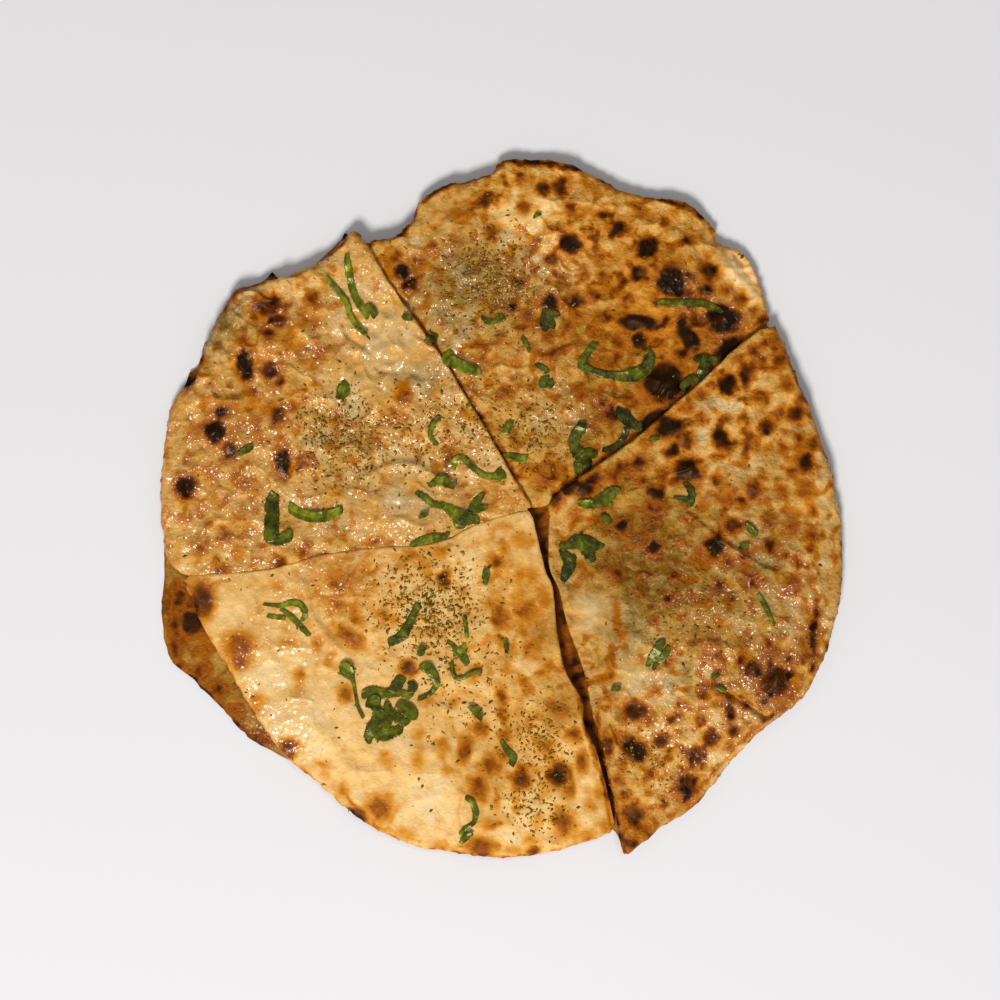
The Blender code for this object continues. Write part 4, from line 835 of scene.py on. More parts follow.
def make_piece(name, points, quads, triangles, looks, material):
    """A smooth mesh object in metres from points in millimetres, with its looks as attributes."""
    mesh = bpy.data.meshes.new(name)
    loops = np.concatenate([quads.ravel(), triangles.ravel()])
    quad_starts, triangle_starts = np.arange(len(quads)) * 4, np.arange(len(triangles)) * 3
    starts = np.concatenate([quad_starts, len(quads) * 4 + triangle_starts])
    mesh.vertices.add(len(points))
    mesh.vertices.foreach_set("co", (points * MM).astype(np.float32).ravel())
    mesh.loops.add(len(loops))
    mesh.loops.foreach_set("vertex_index", loops.astype(np.int32))
    mesh.polygons.add(len(starts))
    mesh.polygons.foreach_set("loop_start", starts.astype(np.int32))
    mesh.update(calc_edges=True)
    mesh.validate()
    mesh.shade_smooth()
    for look, values in looks.items():
        layer = mesh.attributes.new(look, "FLOAT", "POINT")
        layer.data.foreach_set("value", np.asarray(values, np.float32))
    mesh.materials.append(material)
    made = bpy.data.objects.new(name, mesh)
    bpy.context.scene.collection.objects.link(made)
    count = 2 * len(quads) + len(triangles)
    print(name, "has", count, "triangles, top at", round(points[:, 2].max(), 2))
    return made


# %% [markdown]
# The edge makes the difference between bread and a tile. At the rim the dough thins in a broad
# round and breaks into crumbs. At a cut the knife leaves a crisp, nearly upright side, which only
# the crust's spring rounds a little. So each point of the outline knows whether it is on the rim
# or on a cut.

# %% The edge of a leaf of dough
# Over how many points of the outline a cut passes into the rim
EASE_POINTS = 9

# Crumbs at the rim and at a cut: how far each pushes the outline, and its size
RIM_CRUMBS = ((0.38, 4.2), (0.3, 1.7))
CUT_CRUMBS = (0.16, 2.4)
CUT_SHRINK = 0.12

# A distance that stands for the middle, and the share of the way out where the edge is near
FAR = 99.0
OUTER_SHARE = 0.72


def on_rim(count, cut_count):
    """1 for each point of the outline on the rim and 0 on a cut, eased over a few points."""
    if not cut_count:
        return np.ones(count)
    at_rim = np.zeros(count)
    at_rim[cut_count:-cut_count] = 1
    ease = np.hanning(EASE_POINTS)
    wrapped = np.pad(at_rim, EASE_POINTS // 2, mode="wrap")
    return np.convolve(wrapped, ease / ease.sum(), mode="valid")


def crumbled(outline, outward, at_rim, ragged):
    """The outline pushed out and in by noise, much at the rim and a little at a cut."""
    x, y = outline.T
    broad, small = RIM_CRUMBS
    crumbs = at_rim * (broad[0] * noise(x, y, broad[1], 51) + small[0] * noise(x, y, small[1], 52))
    crumbs += (1 - at_rim) * (CUT_CRUMBS[0] * noise(x, y, CUT_CRUMBS[1], 53) - CUT_SHRINK)
    return outline + outward * (ragged * crumbs)[:, None]


def edge_distances(outline, cut_count, share, x, y):
    """How far each point of the top is from the rim and from the cuts, or FAR in the middle."""
    border = np.vstack([outline, outline[:1]])
    rim = border[cut_count:-cut_count:2] if cut_count else border[::2]
    to_rim, to_cut = np.full(x.shape, FAR), np.full(x.shape, FAR)
    outer = share > OUTER_SHARE
    to_rim[outer] = line_distance(rim, x[outer], y[outer])
    if cut_count:
        cut = np.vstack([border[-cut_count:], border[1:cut_count]])
        to_cut[outer] = line_distance(cut[::2], x[outer], y[outer])
    return to_rim, to_cut


# %% A leaf of dough
# Rings on the top, down the side and under the leaf, the last as shares of the way out
TOP_RINGS = 164
SIDE_RINGS = 10
UNDER_RINGS = (0.93, 0.7, 0.4)
RING_CROWDING = 1.25

# Radius of the rounding at a cut and at the rim, and how much of the height it takes
CUT_ROUND = 1.0
RIM_ROUND = 2.6
CUT_FALL = 0.12
RIM_FALL = 0.5

# Unevenness of the side, and how far in from the edge the crust is browned
SIDE_RAG = 0.16
BROWNED_WIDTH = 1.1
BROWNED_SHIFT = 1.2


def dough_leaf(name, outline, cut_count, middle, height, bottom, ragged):
    """Points and faces of a leaf of dough, from the middle of its top round to that of its base.

    On the top, ring k is at the share s = 1 - (1 - t)^1.25 of the way to the outline. Near the
    outline the height falls along a quarter circle. The side goes down to the base and tucks in
    as the square of the way down. Depth is 0 on the top and 1 on the base, and edge is
    exp(-(d / browned width)^2), with d the distance from the outline.
    """
    x, y = outline.T
    outward = -sideways(np.vstack([outline[-1:], outline, outline[:1]]))[1:-1]
    count = len(outline)
    at_rim = on_rim(count, cut_count)
    outline = crumbled(outline, outward, at_rim, ragged)

    middle = np.array(middle, float)
    share = 1 - (1 - np.linspace(0, 1, TOP_RINGS + 1)[1:]) ** RING_CROWDING
    top = middle + (outline - middle) * share[:, None, None]
    z = height(name, top[..., 0], top[..., 1])
    to_rim, to_cut = edge_distances(outline, cut_count, share, top[..., 0], top[..., 1])
    for away, radius, lost in ((to_rim, RIM_ROUND, RIM_FALL), (to_cut, CUT_ROUND, CUT_FALL)):
        fall = 1 - np.sqrt(1 - (1 - np.clip(away / radius, 0, 1)) ** 2)
        z = z - lost * fall * (z - bottom)

    down = np.linspace(0, 1, SIDE_RINGS + 1)[1:, None]
    tuck = (0.5 * (CUT_ROUND + (RIM_ROUND - CUT_ROUND) * at_rim))[None] * down**2
    tuck = tuck + SIDE_RAG * noise(x[None] + 3 * y[None], 12 * down, 2.0, 54)
    side = outline - outward * tuck[..., None]
    side_z = z[-1] + (bottom - z[-1]) * down
    base = middle + (side[-1] - middle) * np.array(UNDER_RINGS)[:, None, None]
    rings = np.concatenate([top, side, base])
    heights = np.concatenate([z, side_z, np.full((len(UNDER_RINGS), count), bottom)])
    points = np.concatenate([rings, heights[..., None]], axis=-1).reshape(-1, 3)
    rows = len(rings)
    crown, foot = len(points), len(points) + 1
    crown_z = height(name, middle[:1], middle[1:])[0]
    points = np.vstack([points, [*middle, crown_z], [*middle, bottom]])
    quads = grid_faces(rows, count)
    first, last = np.arange(count), (rows - 1) * count + np.arange(count)
    triangles = np.vstack([fan_faces(crown, first, True), fan_faces(foot, last, False)])
    depth = np.zeros((rows, count))
    depth[TOP_RINGS:TOP_RINGS + SIDE_RINGS] = down
    depth[TOP_RINGS + SIDE_RINGS:] = 1
    edge = np.zeros((rows, count))
    nearest = np.minimum(to_rim, to_cut + BROWNED_SHIFT)
    edge[:TOP_RINGS] = np.exp(-((nearest / BROWNED_WIDTH) ** 2))
    edge[TOP_RINGS:] = 1
    depth, edge = (np.append(values.ravel(), [0, 1]) for values in (depth, edge))
    return points, quads, triangles, depth, edge


# %% [markdown]
# ## Materials: small helpers
#
# A material is a graph of nodes. Building one by script means a lot of linking, so a few short
# helpers take the repetition out: one adds any node and wires its inputs, and the others rest
# on it.

# %% Node helpers
def node(tree, kind, inputs=None, **settings):
    """Adds a shader node. An input given as a socket is linked, and any other is set."""
    made = tree.nodes.new("ShaderNode" + kind)
    for setting, value in settings.items():
        setattr(made, setting, value)
    for key, value in (inputs or {}).items():
        if isinstance(value, bpy.types.NodeSocket):
            tree.links.new(value, made.inputs[key])
        else:
            made.inputs[key].default_value = value
    return made


def maths(tree, operation, *values, clamp=False):
    """One arithmetic step on sockets or numbers."""
    made = node(tree, "Math", dict(enumerate(values)), operation=operation, use_clamp=clamp)
    return made.outputs[0]


def centred(tree, value, strength):
    """A noise from 0 to 1, moved to lie about 0 and multiplied by a strength."""
    return maths(tree, "MULTIPLY", maths(tree, "SUBTRACT", value, 0.5), strength)


def mixed(tree, factor, one, two):
    """Two colours mixed by a factor. A Mix node takes colours at inputs 6 and 7."""
    return node(tree, "Mix", {0: factor, 6: one, 7: two}, data_type="RGBA").outputs[2]


def between(tree, value, low, high):
    """The smooth step of a value from low to high, as 0 to 1."""
    made = node(tree, "MapRange", {"Value": value, "From Min": low, "From Max": high},
                interpolation_type="SMOOTHSTEP")
    return made.outputs[0]


def linear(red, green, blue):
    """A colour given as a screen shows it, 0 to 255, in the linear values that a shader takes."""
    seen = np.array([red, green, blue]) / 255
    light = np.where(seen <= 0.04045, seen / 12.92, ((seen + 0.055) / 1.055) ** 2.4)
    return (*(float(v) for v in light), 1)


def ramp(tree, value, stops):
    """A colour ramp through (place, colour) stops."""
    made = node(tree, "ValToRGB", {"Fac": value})
    elements = made.color_ramp.elements
    elements[0].position, elements[0].color = stops[0][0], stops[0][1]
    elements[1].position, elements[1].color = stops[-1][0], stops[-1][1]
    for place, colour in stops[1:-1]:
        elements.new(place).color = colour
    return made.outputs[0]


def grain(tree, place, size, detail=2.0, offset=0.0, roughness=0.55):
    """Blender's noise texture with bumps of a size in millimetres, from 0 to 1."""
    if offset:
        shift = (offset, offset, offset)
        place = node(tree, "VectorMath", {0: place, 1: shift}, operation="ADD").outputs[0]
    made = node(tree, "TexNoise", {"Vector": place, "Scale": 1 / (size * MM), "Detail": detail,
                                   "Roughness": roughness})
    return made.outputs["Fac"]


# %% [markdown]
# ## The crust's finish
#
# Real crust is matt dough and flour with fat on it, toasted unevenly down to the scale of a grain
# of sand. A painted image could hold all that, but it blurs from close by. So the colour is
# worked out from what the mesh carries, such as tone, warmth and scorching, and from nine noises.
# Tone picks a colour from a ramp, and there are three ramps: neutral, grey where the filling
# shows through, and orange where the crust is toasted.

# %% The unburnt crust
NEUTRAL = [(0.0, linear(74, 44, 4)), (0.25, linear(130, 85, 14)), (0.5, linear(182, 129, 46)),
           (0.75, linear(222, 167, 84)), (1.0, linear(250, 210, 142))]
ORANGE = [(0.0, linear(84, 38, 0)), (0.25, linear(142, 76, 0)), (0.5, linear(186, 109, 10)),
          (0.75, linear(226, 153, 46)), (1.0, linear(250, 194, 104))]
GREY = [(0.0, linear(56, 40, 6)), (0.25, linear(114, 85, 22)), (0.5, linear(160, 126, 62)),
        (0.75, linear(206, 172, 112)), (1.0, linear(240, 208, 152))]

# The crust's noises: size in millimetres, detail, and an offset that keeps each unlike the rest
CRUST_NOISES = {
    "patches": (10, 1, 0.0), "film": (7, 2, 29.1), "toast": (5.4, 1, 17.9),
    "mottle": (3.6, 2, 3.1), "blots": (3.6, 0, 23.3), "specks": (1.9, 1, 7.7),
    "grit": (1.4, 1, 13.7), "fine": (0.8, 3, 11.3), "pores": (0.42, 2, 5.9),
}
# Which of them shift the tone, and how much
TONE_NOISES = (("patches", 0.5), ("mottle", 0.62), ("fine", 0.26), ("pores", 0.18))

# How much paler the untoasted crust is, how much deeper the orange, and the toasted edge's width
PALER = 0.08
DEEPER = 0.12
TOAST_BAND = 0.13


def unburnt_crust(tree, look, noises, uneven):
    """The colour before scorching, and the orange that the crust toasts to.

    Noise pulls the colour to grey, and warmth holds it back. The crust is orange where another
    noise passes a limit, which is lower the warmer the crust is.
    """
    tone = look["tone"]
    for key, strength in TONE_NOISES:
        tone = maths(tree, "MULTIPLY_ADD", centred(tree, noises[key], strength), uneven, tone)
    pale = maths(tree, "ADD", tone, PALER)
    cool = maths(tree, "SUBTRACT", centred(tree, noises["patches"], 3.0), look["warmth"], clamp=True)
    colour = mixed(tree, cool, ramp(tree, pale, NEUTRAL), ramp(tree, pale, GREY))
    limit = maths(tree, "MULTIPLY_ADD", look["warmth"], -0.26, 0.68)
    toasted = between(tree, noises["toast"], maths(tree, "SUBTRACT", limit, TOAST_BAND),
                      maths(tree, "ADD", limit, TOAST_BAND))
    toasted = maths(tree, "MULTIPLY", toasted, maths(tree, "MULTIPLY_ADD", uneven, 0.55, 0.35))
    orange = ramp(tree, maths(tree, "SUBTRACT", tone, DEEPER), ORANGE)
    return mixed(tree, toasted, colour, orange), orange


# %% [markdown]
# Scorching comes in three parts: the spots and lines that the mesh carries, some of those lines
# being painted shade, freckles too many to place by hand, and the browned rim. Noise frays the
# edges of all three. The herb's dust stains the crust between the flakes, and the cut dough is
# darker and softer in colour than the crust, its darkness partly painted shade for the gaps
# between the wedges.

# %% Scorching and painted shade over it
# The same ramp colours the strokes of painted shade along the cuts and in the gap
SCORCH_AND_SHADE_RAMP = [(0.0, linear(212, 142, 44)), (0.3, linear(176, 98, 10)), (0.45, linear(152, 78, 6)),
            (0.62, linear(118, 56, 3)), (0.8, linear(66, 28, 1)), (0.92, linear(38, 14, 0)),
            (1.0, linear(26, 8, 0))]
HERB_STAIN = linear(112, 94, 42)
# Dark dough colour for the sides and the underside, partly painted shade for the gaps between the
# wedges
INNER_DOUGH_AND_GAP_SHADE = linear(104, 58, 14)

# How far small and broad freckles scorch the crust, and how far fine and broad noise frays it
SPECK_DARKNESS = 0.16
BLOT_DARKNESS = 0.46
FINE_FRAY = 0.3
BROAD_FRAY = 0.45


def crust_scorch_and_shade(tree, look, noises, uneven):
    """How dark each point is made, 0 to 1, from the mesh's spots, lines and painted shade, the
    freckles and the rim.
    """
    small = maths(tree, "MULTIPLY", between(tree, noises["specks"], 0.54, 0.78), SPECK_DARKNESS)
    broad = maths(tree, "MULTIPLY", between(tree, noises["blots"], 0.46, 0.82), BLOT_DARKNESS)
    freckles = maths(tree, "ADD", small, broad)
    scorch_and_shade = maths(tree, "MULTIPLY_ADD", freckles, look["speckle"], look["scorch_and_shade"])
    fray = maths(tree, "ADD", centred(tree, noises["mottle"], BROAD_FRAY),
                 centred(tree, noises["fine"], FINE_FRAY))
    room = maths(tree, "MULTIPLY", between(tree, scorch_and_shade, 0.0, 0.4), uneven)
    scorch_and_shade = maths(tree, "MULTIPLY_ADD", fray, room, scorch_and_shade)
    browned = maths(tree, "MULTIPLY_ADD", between(tree, noises["mottle"], 0.42, 0.62), 0.3, 0.02)
    return maths(tree, "MULTIPLY_ADD", look["edge"], browned, scorch_and_shade)


def crust_colour(tree, look, noises, uneven, scorch_and_shade):
    """The crust's colour: toasted, then scorched and painted with shade, then stained by herb, and
    dark dough at the cuts, partly painted shade.
    """
    colour, orange = unburnt_crust(tree, look, noises, uneven)
    colour = mixed(tree, between(tree, scorch_and_shade, 0.02, 0.3), colour, orange)
    colour = mixed(tree, between(tree, scorch_and_shade, 0.18, 0.54), colour, ramp(tree, scorch_and_shade, SCORCH_AND_SHADE_RAMP))
    herb = maths(tree, "MULTIPLY", between(tree, noises["pores"], 0.52, 0.62), look["dust"])
    colour = mixed(tree, maths(tree, "MULTIPLY", herb, 0.3), colour, HERB_STAIN)
    # Painted shade in part: the dark dough colour down the sides darkens the gaps between the wedges
    return mixed(tree, maths(tree, "MULTIPLY", look["depth"], 0.85), colour, INNER_DOUGH_AND_GAP_SHADE)


# %% [markdown]
# The fat lies in patches, thickest in its pools. On rough crust it stands in beads that glint one
# by one, and on smooth crust it is a silky film. A coat layer does both: its normal follows small
# domes, and they are shallower where the crust is smooth. Beads as real meshes would be tens of
# thousands of drops, each smaller than a pixel of the picture. Burnt crust has drunk its fat.

# %% The film of fat
BEAD = 1.8
BEAD_RISE = 0.95
BEAD_BLEND = 0.3
COAT_ROUGHNESS = 0.2
COAT_IOR = 1.58


def lay_fat(tree, shader, place, look, noises, uneven, burnt):
    """The coat's weight, gloss and normal. A bead is a cell of height -d^2, d from its middle."""
    wet = maths(tree, "MULTIPLY", between(tree, noises["film"], 0.4, 0.52),
                between(tree, look["fat"], 0.45, 1.05))
    tree.links.new(maths(tree, "MULTIPLY", wet, burnt), shader.inputs["Coat Weight"])
    shader.inputs["Coat Roughness"].default_value = COAT_ROUGHNESS
    shader.inputs["Coat IOR"].default_value = COAT_IOR
    cells = node(tree, "TexVoronoi", {"Vector": place, "Scale": 1 / (BEAD * MM),
                                      "Smoothness": BEAD_BLEND}, feature="SMOOTH_F1")
    domes = maths(tree, "POWER", cells.outputs["Distance"], 2)
    domes = maths(tree, "MULTIPLY_ADD", domes, -1, maths(tree, "MULTIPLY", noises["fine"], 0.12))
    beads = node(tree, "Bump", {"Height": domes, "Strength": uneven, "Distance": BEAD_RISE * MM})
    tree.links.new(beads.outputs[0], shader.inputs["Coat Normal"])


# %% [markdown]
# One function brings colour, gloss and fine pits together. The pits come from a bump, because
# they are smaller than the mesh's own faces. The wedges and the lower leaf each have a material
# of their own, so that either can be changed alone.

# %% The crust's material
FAT_TINT = (1.0, 0.55, 0.25, 1)
CRUST_SPECULAR = 0.22
PITS_TOP = 0.65
PITS_UNDER = 0.6


def crust_material(name, pits):
    """The griddled crust, with pits of a depth in millimetres."""
    made = bpy.data.materials.new(name)
    made.use_nodes = True
    tree = made.node_tree
    shader = tree.nodes["Principled BSDF"]
    place = node(tree, "TexCoord").outputs["Object"]
    look = {key: node(tree, "Attribute", attribute_name=key).outputs["Fac"]
            for key in ("scorch_and_shade", "tone", "warmth", "speckle", "fat", "dust", "depth", "edge")}
    noises = {key: grain(tree, place, size, detail, offset)
              for key, (size, detail, offset) in CRUST_NOISES.items()}
    uneven = maths(tree, "MULTIPLY_ADD", look["speckle"], 0.7, 0.3)
    scorch_and_shade = crust_scorch_and_shade(tree, look, noises, uneven)
    # This is low under the strokes of painted shade as well as under real scorching
    burnt = maths(tree, "MULTIPLY_ADD", between(tree, scorch_and_shade, 0.4, 0.8), -0.85, 1.0)

    colour = crust_colour(tree, look, noises, uneven, scorch_and_shade)
    tree.links.new(colour, shader.inputs["Base Color"])
    shader.inputs["Specular IOR Level"].default_value = CRUST_SPECULAR
    shader.inputs["Specular Tint"].default_value = FAT_TINT
    shine = maths(tree, "MULTIPLY_ADD", look["fat"], -0.2, 0.55)
    shine = maths(tree, "ADD", shine, centred(tree, noises["mottle"], 0.5))
    tree.links.new(shine, shader.inputs["Roughness"])

    relief = maths(tree, "MULTIPLY_ADD", noises["fine"], 0.4, noises["grit"])
    relief = maths(tree, "MULTIPLY_ADD", noises["pores"], 0.12, relief)
    strength = maths(tree, "MULTIPLY", uneven, burnt)
    bump = node(tree, "Bump", {"Height": relief, "Strength": strength, "Distance": pits * MM})
    tree.links.new(bump.outputs[0], shader.inputs["Normal"])
    lay_fat(tree, shader, place, look, noises, uneven, burnt)
    return made


dough_top = crust_material("griddled_crust", PITS_TOP)
dough_under = crust_material("griddled_crust_below", PITS_UNDER)

# %% [markdown]
# ## Making the wedges
#
# With height, outline, looks and material in place, each wedge is one call. It rides on the
# bread's only body and stands for the plain solid. The wedges
# are separate pieces, as the knife left them, so that one can be lifted off.

# %% The wedges and the lower leaf
WEDGE_BOTTOM = 2.75

# From which share of the way down the side begins to show dark dough, partly painted shade for the
# gaps, and where it is all dough
DOUGH_AND_SHADE_FROM, DOUGH_AND_SHADE_TO = 0.25, 0.9

# For each piece, how far its rim crumbles
RAGGED_RIM = {"wedge_top": 1.3, "wedge_left": 1.3, "wedge_bottom": 0.8, "wedge_right": 1.0,
              "lower_leaf": 1.0}


def dressed_leaf(name, cut_count, middle, height, bottom, material):
    """One leaf of dough as a piece that stands for its plain solid."""
    made = dough_leaf(name, outlines[name], cut_count, middle, height, bottom, RAGGED_RIM[name])
    points, quads, triangles, depth, edge = made
    looks = crust_looks(name, points[:, 0], points[:, 1])
    # The share of dark dough colour down the side, partly painted shade
    looks["depth"] = smoothstep(DOUGH_AND_SHADE_FROM, DOUGH_AND_SHADE_TO, depth)
    looks["edge"] = edge
    piece = make_piece("dressed_" + name, points, quads, triangles, looks, material)
    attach(piece, "root")
    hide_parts(name)
    return piece


for name, entry in WEDGES.items():
    dressed_leaf(name, CUT_COUNT, entry[4], wedge_height, WEDGE_BOTTOM, dough_top)
dressed_leaf("lower_leaf", 0, (0, 0), lower_height, 0.0, dough_under)

# %% [markdown]
# ## Coriander
#
# The herb was chopped, so most of it is shreds, bits of stem and torn leaves. Each is a thin flat
# strip with a toothed edge, carried along a drawn line with a width at each
# point. A torn leaf is several such lobes from one stalk, each a little above the last. A picture
# of a leaf on a flat card would look right from above only.

# %% Stems and shreds
# x, y and full width at points along each
STRIPS = {
    "stem_beside": [(-63.4, 83.2, 1.8), (-58.7, 78.1, 2.2), (-55.8, 73.8, 2.2), (-54.4, 69.1, 2.2),
                    (-51.8, 65.2, 1.8), (-48.6, 62.6, 1.8)],
    "shred_arch": [(-77, 1.1, 3.2), (-73.4, -1.4, 4), (-68.4, -2.9, 4.3), (-62.6, -2.5, 4),
                   (-57.2, 0, 2.9)],
    "shred_thin": [(-22.3, 33.5, 1.8), (-24.8, 30.6, 2.2), (-25.9, 26.3, 1.8), (-23.4, 22.7, 1.8)],
    "sprig_top": [(-17.6, 14, 1.8), (-16.9, 17.6, 2.2), (-14.8, 18.7, 2.2), (-10.8, 15.1, 2.2),
                  (-6.5, 11.9, 2.2), (-3.2, 11.5, 2.5), (-0.7, 12.2, 5.4), (1.4, 12.6, 2.9)],
    "shred_cut_left": [(-32.8, -13.3, 1.8), (-29.2, -11.5, 2.9), (-24.8, -10.4, 3.2),
                       (-20.9, -10.1, 2.2), (-19.1, -8.3, 1.4)],
    "shred_cut_top": [(-17.6, 56.5, 3.2), (-19.8, 54, 4.3), (-16.2, 52.2, 4.3), (-12.2, 50.4, 4),
                      (-7.6, 49.3, 3.2)],
    "shred_smile": [(-7.6, 69.1, 1.4), (-4.7, 67.3, 2.2), (-1.8, 67.7, 1.8), (0.7, 69.5, 2.2)],
    "shred_flat": [(55.8, 74.2, 2.5), (64.1, 74.2, 2.5), (72, 73.8, 2.5), (76.3, 72.4, 2.5),
                   (79.2, 70.6, 1.4)],
    "shred_u": [(33.8, 60.1, 2.5), (29.9, 54.7, 2.9), (28.8, 51.5, 3.6), (32.4, 49.7, 2.5),
                (37.8, 48.2, 2.9), (43.2, 47.5, 3.6), (48.2, 48.2, 5), (51.8, 50.4, 4.7),
                (53.3, 54.4, 4.3), (52.2, 57.6, 2.5)],
    "shred_cross": [(0.4, 19.1, 1.8), (3.6, 19.1, 2.2), (6.5, 18, 3.2), (9.4, 18.4, 2.9)],
    "stem_pale": [(91.8, -30.6, 1.4), (94, -34.2, 1.8), (96.1, -38.5, 1.4), (97.6, -42.1, 1.4)],
    "shred_chain": [(-30.2, -33.8, 2.2), (-31.7, -37.8, 2.9), (-33.5, -41.4, 3.2), (-35.3, -45, 4),
                    (-37.8, -46.8, 3.6), (-41, -48.2, 3.2)],
    "stem_fine": [(-13.7, -38.5, 1.1), (-13, -42.8, 1.4), (-12.6, -46.4, 1.4)],
    "stem_curl": [(-18, -54.7, 1.3), (-18, -58, 1.4), (-16.6, -60.8, 1.6), (-13.7, -60.5, 1.6),
                  (-10.4, -58.7, 1.4), (-7.2, -58.3, 1.8)],
    "sprig_bottom": [(-56.9, -55.1, 2.5), (-55.8, -58, 5.8), (-53.6, -61.6, 1.8), (-52.9, -65.2, 1.3),
                     (-51.8, -70.9, 1.3), (-49.7, -75.2, 1.3)],
    "stem_loop": [(-29.5, -57.2, 2.2), (-26.6, -56.9, 4), (-24.5, -59.8, 3.2), (-23.4, -63, 2.5),
                  (-25.6, -66.2, 1.8), (-27.9, -67.5, 1.6), (-30.4, -68.5, 1.8)],
    "shred_low": [(-0.4, -83.2, 1.4), (1.8, -86.8, 2.5), (4, -89.6, 3.2), (3.2, -92.5, 2.2)],
    "shred_rim_low": [(-13.3, -103.7, 1.4), (-10.8, -105.1, 2.2), (-9.4, -109.1, 2.5),
                      (-10.1, -112.7, 1.8), (-13, -114.8, 1.8), (-15.1, -117.4, 2.2)],
}

